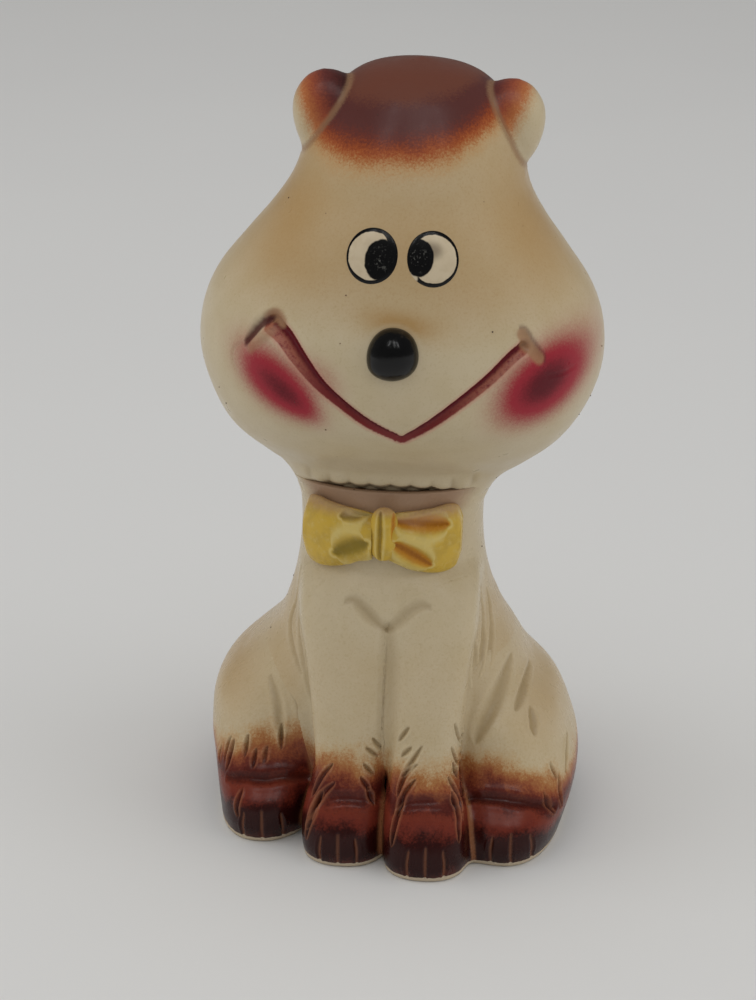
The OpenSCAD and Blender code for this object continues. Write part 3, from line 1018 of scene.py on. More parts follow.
# Paths pressed into the clay are (x, height) points in the piece's own space.
MOUTH_LEFT = [
    (-24.5, 116.6), (-21.7, 114.6), (-18.4, 110.8), (-14.6, 106.7), (-10, 103), (-3.9, 98.6), (2.5, 95.2),
]
MOUTH_RIGHT = [(2.5, 95.2), (8, 99.4), (13.7, 104.2), (19.3, 109), (23.4, 113), (25.7, 114.7)]
MOUTH_END_LEFT = [(-29.5, 111.9), (-27.9, 114.7), (-25.5, 117.4), (-23.8, 118.4), (-22.6, 117.4)]
MOUTH_LUMP = [(-28.4, 111.2), (-26.6, 113.2), (-25, 115)]
MOUTH_END_RIGHT = [(25.2, 117.2), (26.6, 115), (28.6, 112.3)]
FACE_SPACING, CREASE_SPACING = 0.5, 0.4  # between the points of a path traced on the face


def carve_mouth(skin, depth):
    """The smile: two arms that meet at a point, each ending in a short cross crease."""
    count = len(skin.points)
    mouth, level, warm, fold, stroke = np.full(count, -1.0), *np.zeros((4, count))
    # each arm's path, its half width and its warm stain, both by the share along it
    arms = [(MOUTH_LEFT, lambda s: 2.1 - 1.0 * smoothstep(0, 0.65, s), lambda s: 1 - smoothstep(0.1, 0.5, s)),
            (MOUTH_RIGHT, lambda s: 1.05 + 0.35 * s, lambda s: smoothstep(0.2, 0.8, s))]
    for path, half_at, warm_at in arms:
        near, gap, side, along = skin.across(skin.traced(path, FACE_SPACING), 7)
        half = half_at(along)
        u = gap / half
        across = np.clip(side * u, -1.2, 1.2)
        hollow = np.clip(1 - (across - 0.25) ** 2 / np.where(across > 0.25, 0.5625, 1.5625), 0, 1)
        lip = np.exp(-((u - 1.3) / 0.3) ** 2)
        skin.cut[near] = np.maximum(skin.cut[near], depth * hollow) - 0.2 * lip
        better = half - gap > mouth[near]
        chosen = near[better]
        mouth[chosen] = (half - gap)[better]
        level[chosen] = (side * u)[better]
        warm[chosen] = warm_at(along)[better]
    skin.groove(MOUTH_END_LEFT, 3.0, depth * 0.9, taper=0.7, ridge=0.15)
    near, gap, _, along = skin.across(skin.traced(MOUTH_END_LEFT, CREASE_SPACING), 4)
    hollow_paint = 1.3 - gap - 1.6 * smoothstep(0.55, 0.95, along)
    stroke[near] = smoothstep(0, 0.9, hollow_paint)
    fold[near] = smoothstep(1.7, 1.0, gap) * smoothstep(0.5, 0.8, along)
    near, gap, _, _ = skin.across(skin.traced(MOUTH_LUMP, CREASE_SPACING), 4)
    skin.cut[near] -= 0.5 * np.exp(-(gap / 1.3) ** 2)
    fold[near] = np.maximum(fold[near], 0.6 * smoothstep(1.8, 0.6, gap))
    skin.groove(MOUTH_END_RIGHT, 3.6, depth * 0.6, taper=0.5, ridge=0.15)
    near, gap, side, _ = skin.across(skin.traced(MOUTH_END_RIGHT, CREASE_SPACING), 4)
    fold[near] = np.maximum(fold[near], smoothstep(1.7, 0.9, gap))
    stroke[near] = np.maximum(stroke[near], 0.6 * np.exp(-((gap - 1.5) / 0.35) ** 2) * (side > 0))
    made = {"mouth": mouth, "mouth_level": level, "mouth_warm": warm, "fold": fold, "stroke": stroke}
    for label, values in made.items():
        skin.put(label, values)


CHIN_EDGE = [(-17.5, 78.2), (-14, 77.4), (-8, 76.9), (0, 76.9), (8, 77.4), (14, 78.3), (18.5, 79.6)]
TUFT_PITCH = 4.3


def carve_chin(skin):
    """The fringe of tufts that ends the chin, shaded between the tufts."""
    x, y, z = skin.own.T
    low = np.interp(x, *zip(*CHIN_EDGE))
    front = smoothstep(-2, -8, y) * smoothstep(20, 16, np.abs(x))
    wave = np.abs(np.sin(np.pi * x / TUFT_PITCH))
    band = smoothstep(low - 0.6, low + 0.6, z) * smoothstep(low + 4.2, low + 1.6, z) * front
    skin.cut -= band * (0.5 * wave - 0.2)
    # Painted shade in the dips between the tufts.
    skin.add("line", 0.4 * band * (1 - wave) ** 2)


CHEEK_LINES = [
    [(-29.4, 112), (-32, 110.2), (-32.8, 107.5), (-31.6, 105)], [(30, 108.6), (33.5, 108.2), (36.5, 108.8)],
]
# Raised spots of the face: middle, radii and height
SWELLS = [
    ((-25.5, -28, 109), (5, 8, 3.5), 0.7), ((28, -28, 109.5), (4.5, 8, 4), 0.5),
    ((-0.2, -HEAD_FRONT, NOSE_Z), (9, 6, 9), 0.6),
    ((-5.4, -30, EYE_Z), (6.5, 6, 7), 0.35), ((7.2, -30, EYE_Z), (6.5, 6, 7), 0.35),
]


def carve_head(skin, sizes):
    carve_mouth(skin, sizes.mouth_depth / MM)
    carve_chin(skin)
    for path in CHEEK_LINES:
        skin.groove(path, 0.9, 0.25, ridge=0.08)
    for middle, radii, height in SWELLS:
        skin.swell(middle, radii, height)


CHEST_Y_RIGHT = [(-8.6, 54.6), (-7, 55.2), (-5, 54), (-2.6, 51.6), (0.4, 49.4)]
CHEST_Y_LEFT = [(9.6, 54.2), (7.4, 54.6), (4.8, 53.2), (2.6, 51.2), (0.6, 49.2)]
LEG_SEAM = [(0.7, 50.4), (1.3, 43), (1.4, 34), (1.5, 24), (1.8, 16)]


def paw_share(z, edge):
    """0 at the spray's upper edge and 1 on the table."""
    return np.clip((edge - z) / edge, -0.6, 1)


HAIR_FORELEG_RIGHT = [
    [(-9.9, 21.3), (-12.2, 18.1), (-14.2, 13.5)], [(-9.3, 17.6), (-12.4, 14), (-14.5, 9.5)],
    [(-11.9, 15.5), (-13.9, 11.4), (-15, 7.3)], [(-12.6, 12.6), (-14.4, 8.6), (-15.2, 4.8)],
    [(-3, 25), (-0.6, 22.7)], [(-3.4, 21.6), (-1.3, 19)], [(-1.8, 27), (0.2, 24.2)], [(-3.9, 18.9), (-2, 16)],
    [(-2.6, 16.6), (-0.8, 13)],
]
HAIR_FORELEG_LEFT = [
    [(8.2, 23.5), (5.6, 20.6), (4.4, 16.3)], [(8, 20.4), (5.7, 17.1), (4.4, 13.1)], [(6.9, 26.8), (4.8, 24.6)],
    [(9.1, 27.2), (7.1, 23.9), (5, 20.5)], [(6.2, 30.9), (4.1, 27.6)], [(5.6, 15.4), (4.2, 11.4), (3.6, 7)],
    [(15.1, 26.4), (16.3, 21.9), (17.1, 15.7)], [(15.4, 23.2), (16.8, 18), (17.9, 12.3)],
    [(14.6, 20.5), (16.7, 15.8), (18, 11.1)], [(15.6, 31.2), (17.2, 24)], [(15.4, 17.4), (17, 12.8), (17.6, 8)],
]
HAIR_HIND_RIGHT = [
    [(-34.2, 19.6), (-35.4, 14.3)], [(-33.3, 19.4), (-34.1, 15.3), (-34.7, 12.9)], [(-30, 21.3), (-30.5, 16.8)],
    [(-25.7, 19.3), (-26.1, 15.9)], [(-22.8, 24), (-22.6, 18.8)], [(-28, 18.6), (-28.5, 15)],
    [(-30.3, 11.3), (-31.2, 8.3), (-30.9, 5.5)], [(-36.6, 16.5), (-37, 12.5)],
]
HAIR_HIND_LEFT = [
    [(37.2, 15.6), (38.3, 8.9)], [(34.5, 14), (37, 9.2)], [(38.4, 20), (38.6, 15)], [(35.4, 18.4), (36.8, 15.2)],
]
HAUNCH_RIGHT = [[(-26.1, 32.7), (-23.6, 28), (-22.6, 20.5)], [(-21.9, 37.2), (-18.9, 31.8), (-18.5, 25)]]
HAUNCH_LEFT = [
    [(25.7, 37.6), (24, 33.6), (20.6, 27), (19.6, 24)], [(29.4, 33), (27.5, 29.4)], [(30.6, 28.8), (32, 24.6)],
]
NECK_LINES = [
    [(-19.5, 58), (-20.5, 50), (-22, 43), (-18.6, 35)], [(-18.5, 52), (-19.5, 44), (-17.6, 36), (-16, 29)],
    [(-17.6, 47), (-17.4, 39), (-15.6, 31)], [(18.5, 56), (19.5, 48), (19.6, 40), (18, 32)],
    [(17.8, 50), (18.4, 42), (18.6, 35), (18.3, 28)], [(19.8, 52), (21.4, 43), (20.6, 34)],
]


def toe_paths(middle, half, top):
    """Three short grooves down the front of a paw."""
    return [[(middle + k * half * 0.9, top - abs(k)), (middle + k * half, top * 0.5),
             (middle + k * half * 0.96, 0.8)] for k in (-1, 0, 1)]


def carve_hair(skin, paths, depth, width, strength):
    for path in paths:
        # Painted shade in each stroke's groove and a painted highlight on its burr.
        skin.groove(path, width, depth, taper=0.75, ridge=depth * 0.5, hollow_paint="line", strength=strength,
                    crest="crest")


def carve_chest(skin, crease):
    # Painted shade along the chest's Y creases and the seam between the forelegs.
    skin.groove(CHEST_Y_RIGHT, 3.4, crease * 0.9, taper=0.8, ridge=0.12, hollow_paint="line", strength=0.5)
    skin.groove(CHEST_Y_LEFT, 3.2, crease * 0.8, taper=0.8, ridge=0.12, hollow_paint="line", strength=0.4)
    skin.groove(LEG_SEAM, 5.5, crease * 0.7, taper=0.6, hollow_paint="line", strength=0.35)


def paint_foot(skin, edge, under):
    """The spray from its upper edge down, the bare rim, and the crevices that the spray missed."""
    z = skin.points[:, 2]
    skin.put("paw", paw_share(z, edge))
    skin.put("rim", smoothstep(1.5, 0.4, z))
    skin.put("crevice", np.exp(-(under / 1.3) ** 2) * smoothstep(26, 10, z))
    skin.blank(("strip", "shade"))


def build_solid(name, form_name, rows, columns, front_share, neighbours, work, material, slot, dense=()):
    """A leg, tail or ear: a form settled among its neighbours, carved, painted and closed."""
    form = FORMS[form_name]
    grid = form.rings(form.levels(rows, dense), ring_angles(columns, front_share))
    grid, under = settle(form_name, grid, neighbours)
    skin = Skin(grid, form.mirrored)
    skin.blank(("line", "crest", "tan"))
    work(skin, under.ravel())
    worked, paint = skin.worked(), skin.paint
    if form.rows[0, 0] == 0:  # it stands on the table
        worked, added = footed(worked)
        paint = padded_paint(paint, added, columns)
    vertices, quads, triangles = closed_by_poles(worked)
    paint = with_pole_paint(paint, worked.shape)
    new_piece(name, vertices, quads, triangles, form.mirrored, paint, material, [form_name])


# ---- pieces --------------------------------------------------------------------------------------


# Rows and columns of each piece's grid
HEAD_ROWS, HEAD_COLUMNS = 198, 430
TORSO_ROWS, TORSO_COLUMNS = 170, 400
LEG_GRIDS = {"foreleg": (170, 200), "hind_leg": (150, 290)}
TAIL_ROWS, TAIL_COLUMNS = 90, 120
EAR_ROWS, EAR_COLUMNS = 84, 150
NOSE_ROWS, NOSE_COLUMNS = 64, 120
EYE_RINGS, EYE_COLUMNS = 46, 128
LOOP_ROWS, LOOP_COLUMNS = 120, 180
KNOT_ROWS, KNOT_COLUMNS = 80, 120
FACE_ROWS = ((92, 122, 1.35),)  # the face's rows are closer by this much
FOOT_ROWS = ((0, 30, 1.25),)


def make_head(glazes, sizes):
    """The head with its carved face outside and the hollow inside, closed at the neck."""
    form = FORMS["head"]
    columns = HEAD_COLUMNS
    heights = form.levels(HEAD_ROWS, dense=FACE_ROWS)
    angles = ring_angles(columns, 0.72)
    grid, under = settle("head", form.rings(heights, angles), ("torso", "ear_left", "ear_right"))
    skin = Skin(grid, False, form.place)
    skin.blank(("line", "crest"))
    paint_head(skin, under.ravel())
    carve_head(skin, sizes)
    outer = skin.worked()[::-1]
    inner_heights = np.linspace(NECK_Z, NECK_Z + HEAD_HEIGHT - WALL - 1, 16)
    inner = form.rings(inner_heights, angles, inset=WALL)
    inner[-1] = shrunk(inner[-1], 0.3)
    whole = np.concatenate([outer, inner])
    paint = {label: v.reshape(-1, columns)[::-1].ravel() for label, v in skin.paint.items()}
    paint = padded_paint(paint, 0, columns, len(inner))
    vertices, quads, triangles = closed_by_poles(whole)
    paint = with_pole_paint(paint, whole.shape)
    new_piece("head_cream_glaze", vertices, quads, triangles, True, paint, head_glaze(glazes, sizes),
              ["head_shell"])


def make_torso(glazes, sizes):
    """The torso as one wall: down its inside, over the ledge that takes the foot slab, and back up outside."""
    form = FORMS["torso"]
    columns = TORSO_COLUMNS
    top = NECK_Z + 3
    heights = form.levels(TORSO_ROWS)
    heights = heights[heights < top]
    angles = ring_angles(columns, 0.6)
    neighbours = ("head", "foreleg_left", "foreleg_right", "hind_leg_left", "hind_leg_right", "tail")
    grid, under = settle("torso", form.rings(heights, angles), neighbours)
    skin = Skin(grid, False)
    skin.blank(("line", "crest"))
    x, y, z = skin.points.T
    paint_foot(skin, 20 + 2 * np.sin(x / 5), under.ravel())
    sides = smoothstep(14, 22, np.abs(x)) * smoothstep(62, 48, z) * smoothstep(20, 34, z)
    skin.put("tan", 0.3 * sides + 0.3 * smoothstep(8, 24, y) * smoothstep(60, 30, z))
    skin.put("strip", smoothstep(71.5, 74, z) * smoothstep(-8, -14, y))
    skin.put("shade", smoothstep(74.8, 77, z) * smoothstep(-6, -12, y) * 0.25)
    carve_chest(skin, sizes.crease_depth / MM)
    carve_hair(skin, NECK_LINES, 0.32, 1.5, 0.4)
    outer = skin.worked()
    outer[..., 2] = np.maximum(outer[..., 2], 0)
    outer[0, :, 2] = 0
    inner_heights = np.array([top - 1, 66, 56, 45, 34, 22, 10, SLAB])
    inner = form.rings(inner_heights, angles, inset=WALL)
    ledge = form.rings(np.array([SLAB, 0.0]), angles, inset=WALL - REBATE - 0.02)
    whole = np.concatenate([outer, inner, ledge])
    paint = padded_paint(skin.paint, 0, columns, len(inner) + len(ledge))
    new_piece("torso_cream_glaze", whole.reshape(-1, 3), grid_faces(len(whole), columns, True), [], False, paint,
              body_glaze(glazes, sizes), ["body_shell"])


ANKLES = {
    "foreleg_left": [(4.6, 14.6), (6, 15.4), (9.6, 16.2), (14.3, 16), (16.6, 14.6)],
    "foreleg_right": [(-13.6, 12.4), (-12.3, 13.3), (-7.4, 14.8), (-2.1, 14.2), (0, 13)],
    "hind_leg_left": [(17.5, 12.6), (19, 13.2), (24, 14), (29.4, 13.5), (34.7, 12), (37, 10.5)],
    "hind_leg_right": [(-34, 11.8), (-30.9, 13), (-26.3, 13.2), (-21.5, 13.5), (-16.5, 12.4)],
}
TOES = {
    "foreleg_left": toe_paths(11, 4, 8), "foreleg_right": toe_paths(-8, 4.1, 8),
    "hind_leg_left": toe_paths(28.3, 4.4, 8.5), "hind_leg_right": toe_paths(-25.6, 4.4, 8),
}
SPRAY_EDGE = {"foreleg_left": 23.0, "foreleg_right": 23.6, "hind_leg_left": 21.5, "hind_leg_right": 23.5}
LEG_HAIR = {
    "foreleg_left": HAIR_FORELEG_LEFT, "foreleg_right": HAIR_FORELEG_RIGHT,
    "hind_leg_left": HAIR_HIND_LEFT, "hind_leg_right": HAIR_HIND_RIGHT,
}


def work_leg(name, sizes):
    """Carving and paint of one leg, as a function for build_solid."""
    crease, hair = sizes.crease_depth / MM, sizes.hair_depth / MM
    fore = name.startswith("foreleg")

    def work(skin, under):
        x, _, z = skin.points.T
        drop = 0 if fore else 5 * smoothstep(26, 38, np.abs(x))
        paint_foot(skin, SPRAY_EDGE[name] - drop, under)
        if fore:
            skin.put("tan", 0.12 * smoothstep(60, 40, z))
            carve_chest(skin, crease)
        else:
            flank = smoothstep(24, 38, np.abs(x)) * smoothstep(20, 32, z)
            skin.put("tan", 0.4 * flank + 0.15)
        # Painted shade in the ankle crease, darker on the hind legs.
        skin.groove(ANKLES[name], 3.0, crease * (0.7 if fore else 1.1), taper=0.5, ridge=0.2, hollow_paint="line",
                    strength=0.3 if fore else 0.8)
        for path in TOES[name]:
            skin.groove(path, 1.3, 0.4, taper=0.6, ridge=0.1)
            # A pale painted highlight along each toe groove.
            skin.groove(path, 0.8, 0, taper=0.6, hollow_paint="crest", strength=0.7)
        carve_hair(skin, LEG_HAIR[name], hair, 1.15, 0.8)
        # Painted shade in the haunch creases.
        if name == "hind_leg_right":
            for path in HAUNCH_RIGHT:
                skin.groove(path, 2.2, 0.5, taper=0.8, ridge=0.15, hollow_paint="line", strength=0.4)
        if name == "hind_leg_left":
            for path, width in zip(HAUNCH_LEFT, (3.2, 1.6, 1.8)):
                skin.groove(path, width + 0.6, 0.8, taper=0.8, ridge=0.2, hollow_paint="line", strength=0.6)

    return work


def make_legs(glazes, sizes, kind):
    glaze = body_glaze(glazes, sizes)
    for side, other in (("left", "right"), ("right", "left")):
        name = f"{kind}_{side}"
        neighbours = {
            "foreleg": ("torso", "hind_leg_left", "hind_leg_right", f"foreleg_{other}"),
            "hind_leg": ("torso", "tail", f"foreleg_{side}"),
        }[kind]
        build_solid(f"{name}_glaze", name, *LEG_GRIDS[kind], 0.66, neighbours, work_leg(name, sizes), glaze,
                    "cream_glaze", dense=FOOT_ROWS)


def work_tail(skin, under):
    x, _, z = skin.points.T
    paint_foot(skin, 30.0, under)
    skin.put("line", 0.25 * smoothstep(0.2, 0.8, np.sin(x * 2.1 + z * 0.35)))


def make_tail(glazes, sizes):
    build_solid("tail_glaze", "tail", TAIL_ROWS, TAIL_COLUMNS, 0.4, ("torso",), work_tail,
                tail_glaze(glazes, sizes), "brown_glaze")


EAR_SPRAY = {"left": 0.2, "right": 0.46}  # how deep the brown lies in the middle of each ear


def work_ear(name):
    """The spray lies deepest beside the head and thins out to cream at the rim."""
    form = FORMS["ear_" + name]

    def work(skin, under):
        x, y, z = form.own(skin.points).T
        inward = -x / EAR_HALF
        depth = EAR_SPRAY[name] + 0.62 * inward + 0.5 * z / EAR_HEIGHT - 0.1 * np.maximum(y, 0) / 6
        skin.put("cap", np.clip(depth, -1, 1.1))
        skin.put("seam", np.exp(-(under / 0.9) ** 2))
        skin.put("tan", 0.25 * smoothstep(-0.4, 0.4, inward))

    return work


def make_ears(glazes, sizes):
    glaze = ear_glaze(glazes, sizes)
    for name, side in SIDES:
        build_solid(f"ear_{name}_glaze", f"ear_{name}", EAR_ROWS, EAR_COLUMNS, 0.6, ("head",),
                    work_ear(name), glaze, "brown_glaze")


def disc_rings(radii, heights, columns):
    angles = np.arange(columns) * 2 * np.pi / columns
    x = np.asarray(radii)[:, None] * np.cos(angles)
    y = np.asarray(radii)[:, None] * np.sin(angles)
    return np.stack([x, y, np.broadcast_to(np.asarray(heights, float)[:, None], x.shape)], -1)


def make_nose(glazes, sizes):
    """A slightly lumpy ball pressed into the face."""
    angle = np.linspace(0.02, np.pi - 0.02, NOSE_ROWS)
    radius = NOSE_WIDTH / 2
    grid = disc_rings(radius * np.sin(angle), -radius * np.cos(angle), NOSE_COLUMNS)
    unit = grid / radius
    lump = 0.16 * np.sin(unit[..., 0] * 3.1 + 1) * np.sin(unit[..., 1] * 2.7 + 0.5)
    lump += 0.22 * np.exp(-((unit[..., 0] + 0.75) ** 2 + (unit[..., 1] + 0.5) ** 2) / 0.12)
    grid = grid + unit * lump[..., None]
    place = (head_place() @ moved(0, 1 - HEAD_FRONT, NOSE_Z) @ sized(1, 0.95, 1.04) @ turned("X", 90))
    out = carried(place, grid.reshape(-1, 3)).reshape(grid.shape)
    around = np.hypot(unit[..., 0], unit[..., 1]).ravel()
    vertices, quads, triangles = closed_by_poles(out)
    paint = with_pole_paint({"rim": smoothstep(0.8, 1.0, around)}, out.shape)
    new_piece("nose_black_glaze", vertices, quads, triangles, False, paint, nose_glaze(glazes, sizes),
              ["nose"])


def make_eyes(glazes, sizes):
    """Low domed discs that follow the face."""
    relief = sizes.eye_relief / MM
    columns, radius = EYE_COLUMNS, EYE_HEIGHT / 2
    rise = np.linspace(0.01, 1, EYE_RINGS)
    radii = np.concatenate([radius * rise, [radius * 1.01, radius * 0.995, radius * 0.6, 0.2]])
    dome = 0.45 + 0.55 * (1 - rise**2)
    lips = relief * dome * np.sqrt(np.clip(1 - rise**14, 0, 1))
    drop = np.concatenate([lips, [-0.35, -1.6, -1.8, -1.8]])
    for name, side in SIDES:
        place = eye_place(side)
        flat = disc_rings(radii, np.zeros(len(radii)), columns).reshape(-1, 3)
        face = np.zeros(len(flat))
        for _ in range(12):
            at = flat.copy()
            at[:, 2] = face
            face = face - FORMS["head"].gap(carried(place, at))
        at = flat.copy()
        at[:, 2] = face + np.repeat(drop, columns)
        grid = carried(place, at).reshape(len(radii), columns, 3)[::-1]
        shape = (len(radii), columns)
        paint = {
            "across": (flat[:, 0] * side).reshape(shape)[::-1].ravel(),
            "upward": flat[:, 1].reshape(shape)[::-1].ravel(),
            "rim": np.repeat(smoothstep(-0.05, -0.3, drop), columns).reshape(shape)[::-1].ravel(),
        }
        vertices, quads, triangles = closed_by_poles(grid)
        paint = with_pole_paint(paint, grid.shape)
        new_piece(f"eye_{name}_glaze", vertices, quads, triangles, side < 0, paint,
                  eye_glaze(f"white_eye_{name}_glaze", glazes, sizes, side), [f"eye_{name}"])


# Each fold of a loop: its path, its width and the glaze that pools in it, which also stands in for painted shade
BOW_FOLDS = {
    1: [([(3.4, 5.4), (8.5, 5.2), (14.2, 4.2)], 5.4, "amber"),
        ([(3.3, 0.6), (6.6, -1.4), (11.0, -4.6)], 4.2, "amber")],
    -1: [([(-2.0, 6.2), (-4.5, 6.2), (-8, 5.4)], 4.0, "olive"),
         ([(-2.4, 0.2), (-5.4, -1.1), (-9.2, -2.8)], 6.0, "olive")],
}
BOW_PAINT = ("line", "crest", "olive", "amber")
LOOP_BACK, FOLD_DEPTH = 1.9, 0.85
KNOT_DEEP = 2.3  # the knot's half depth
KNOT_GROOVE = [(0.4, 7.4), (0.5, 3), (0.4, -1), (0.5, -3.4)]
KNOT_SHADE = [(3.2, 7), (3.3, 4), (3.3, 1.5)]


def make_bow(glazes, sizes):
    """Two pillowed loops with pressed folds and a grooved knot."""
    glaze = bow_glaze(glazes, sizes)
    for name, side in SIDES:
        place = bow_place() @ moved(0, LOOP_BACK, 0) @ to_side(side) @ turned("Y", 90)
        form = Form(BOW_LOOP, LEG_SQUARE, place)
        angles = ring_angles(LOOP_COLUMNS, 0.66)
        grid = form.rings(form.levels(LOOP_ROWS), angles)
        skin = Skin(grid, form.mirrored, bow_place())
        skin.blank(BOW_PAINT)
        x, _, z = skin.own.T
        skin.put("blend", smoothstep(4.2, 7.4, z) * smoothstep(0, 8, side * x))
        for path, width, pool_and_shade in BOW_FOLDS[side]:
            skin.groove(path, width, FOLD_DEPTH, taper=0.75, ridge=0.16, hollow_paint=pool_and_shade, crest="crest")
        # Painted highlight along the front of the loops' upper and lower rims.
        edge = np.broadcast_to(np.abs(np.cos(angles)), skin.shape[:2]).ravel()
        skin.add("crest", 0.8 * smoothstep(0.86, 0.97, edge) * skin.front)
        vertices, quads, triangles = closed_by_poles(skin.worked())
        paint = with_pole_paint(skin.paint, skin.shape)
        new_piece(f"bow_loop_{name}_glaze", vertices, quads, triangles, form.mirrored, paint, glaze,
                  [f"bow_loop_{name}"])
    heights = np.linspace(-1, 1, KNOT_ROWS)[:, None] * 0.998
    angles = ring_angles(KNOT_COLUMNS, 0.66)[None]
    round_end = np.sqrt(1 - np.abs(heights) ** 4)
    grid = np.stack([KNOT_X + KNOT_HALF * round_end * np.cos(angles), KNOT_DEEP * round_end * np.sin(angles),
                     KNOT_Z + KNOT_RISE * heights + 0 * angles], -1)
    skin = Skin(carried(bow_place(), grid.reshape(-1, 3)).reshape(grid.shape), False, bow_place())
    skin.blank(BOW_PAINT)
    skin.put("blend", smoothstep(6, 8, skin.own[:, 2]))
    # Painted shade in the knot's groove with a painted highlight on its burr, and a painted amber shadow down its
    # right side.
    skin.groove(KNOT_GROOVE, 1.3, 0.6, taper=0.5, ridge=0.12, hollow_paint="line", strength=0.8, crest="crest")
    skin.groove(KNOT_SHADE, 1.8, 0.3, taper=0.5, hollow_paint="amber", strength=0.8)
    vertices, quads, triangles = closed_by_poles(skin.worked())
    paint = with_pole_paint(skin.paint, skin.shape)
    new_piece("bow_knot_glaze", vertices, quads, triangles, False, paint, glaze, ["bow_knot"])


def make_foot_slab(glazes):
    """The slab keeps its own mesh and gets the bare clay finish."""
    slab = frame["nodes"]["foot_slab"]
    clay = bare_clay(glazes)
    if slab.material_slots:
        for material_slot in slab.material_slots:
            material_slot.material = clay
    else:
        slab.data.materials.append(clay)


# ---- repeated details from node trees ------------------------------------------------------------


class Recipe:
    """A geometry node tree in the making."""

    def __init__(self, name, inputs):
        self.tree = bpy.data.node_groups.new(name, "GeometryNodeTree")
        face = self.tree.interface
        face.new_socket("Geometry", in_out="INPUT", socket_type="NodeSocketGeometry")
        face.new_socket("Geometry", in_out="OUTPUT", socket_type="NodeSocketGeometry")
        self.ids = {key: face.new_socket(key, in_out="INPUT", socket_type=kind).identifier
                    for key, kind in inputs.items()}
        self.source = self.tree.nodes.new("NodeGroupInput")

    def given(self, key):
        return next(s for s in self.source.outputs if s.name == key)

    def add(self, kind, settings=None, inputs=None, output=0):
        node = self.tree.nodes.new(kind)
        for key, value in (settings or {}).items():
            setattr(node, key, value)
        for key, value in (inputs or {}).items():
            socket = node.inputs[key]
            if isinstance(value, bpy.types.NodeSocket):
                self.tree.links.new(value, socket)
            else:
                socket.default_value = value
        return node.outputs[output]

    def random(self, low, high):
        inputs = {2: low, 3: high, "Seed": self.given("Seed")}
        return self.add("FunctionNodeRandomValue", {"data_type": "FLOAT"}, inputs, 1)

    def finish(self, points, shape, scale):
        """Puts the shape on every point, as real geometry in the given glaze."""
        placed = self.add("GeometryNodeInstanceOnPoints", {}, {
            "Points": points, "Instance": shape, "Scale": scale})
        plain = self.add("GeometryNodeRealizeInstances", {}, {"Geometry": placed})
        glazed = self.add("GeometryNodeSetMaterial", {}, {"Geometry": plain, "Material": self.given("Glaze")})
        out = self.tree.nodes.new("NodeGroupOutput")
        self.tree.links.new(glazed, out.inputs["Geometry"])

    def grown(self, name, host_mesh, values):
        """Runs the tree on a mesh and hands over the plain mesh that it gives."""
        host = bpy.data.objects.new(name, host_mesh)
        bpy.context.scene.collection.objects.link(host)
        modifier = host.modifiers.new("recipe", "NODES")
        modifier.node_group = self.tree
        for key, value in values.items():
            modifier[self.ids[key]] = value
        graph = bpy.context.evaluated_depsgraph_get()
        made = bpy.data.meshes.new_from_object(host.evaluated_get(graph), depsgraph=graph)
        host.modifiers.remove(modifier)
        host.data = made
        made.name = name
        made.polygons.foreach_set("use_smooth", np.ones(len(made.polygons), bool))
        hand_over(host, [])
        return host


TUFT = (2.3, 1.9, 0.6)  # half width, half drop and thickness
TUFT_SEED = 4
TUFT_BACK, TUFT_LIFT = 0.55, 1.2  # from the chin's edge


def make_tufts(glazes, sizes):
    """A row of small tufts along the lower edge of the chin."""
    head = FORMS["head"]
    flat = curve_through(CHIN_EDGE, 0.8)[2:-2]
    spots = []
    for x, z in flat:
        y = -8.0
        for _ in range(30):
            y += head.gap(carried(head.place, np.array([[x, y, z]])))[0] * 0.9
        spots.append(carried(head.place, np.array([[x, y + TUFT_BACK, z + TUFT_LIFT]]))[0] * MM)
    mesh = bpy.data.meshes.new("chin_line")
    mesh.from_pydata([tuple(p) for p in spots], [(i, i + 1) for i in range(len(spots) - 1)], [])
    recipe = Recipe("Tufts along an edge", {
        "Count": "NodeSocketInt", "Half width": "NodeSocketFloat", "Half drop": "NodeSocketFloat",
        "Thickness": "NodeSocketFloat", "Seed": "NodeSocketInt", "Glaze": "NodeSocketMaterial"})
    line = recipe.add("GeometryNodeMeshToCurve", {}, {"Mesh": recipe.given("Geometry")})
    points = recipe.add("GeometryNodeCurveToPoints", {"mode": "COUNT"}, {
        "Curve": line, "Count": recipe.given("Count")})
    bead = recipe.add("GeometryNodeMeshIcoSphere", {}, {"Radius": 1.0, "Subdivisions": 4})
    scale = recipe.add("ShaderNodeCombineXYZ", {}, {
        "X": recipe.given("Half width"), "Y": recipe.given("Thickness"), "Z": recipe.given("Half drop")})
    wobble = recipe.random(0.85, 1.12)
    uneven = recipe.add("ShaderNodeVectorMath", {"operation": "SCALE"}, {"Vector": scale, "Scale": wobble})
    recipe.finish(points, bead, uneven)
    half_width, half_drop, thickness = TUFT
    recipe.grown("chin_tufts_glaze", mesh, {
        "Count": sizes.tufts, "Half width": half_width * MM, "Half drop": half_drop * MM,
        "Thickness": thickness * MM, "Seed": TUFT_SEED, "Glaze": tuft_glaze(glazes, sizes)})


SPECK_SEEDS = {"head": 7, "torso": 11}
SPECK_RADIUS = 0.17
SPECK_AREA = 0.01  # square metres that the number of specks is counted on


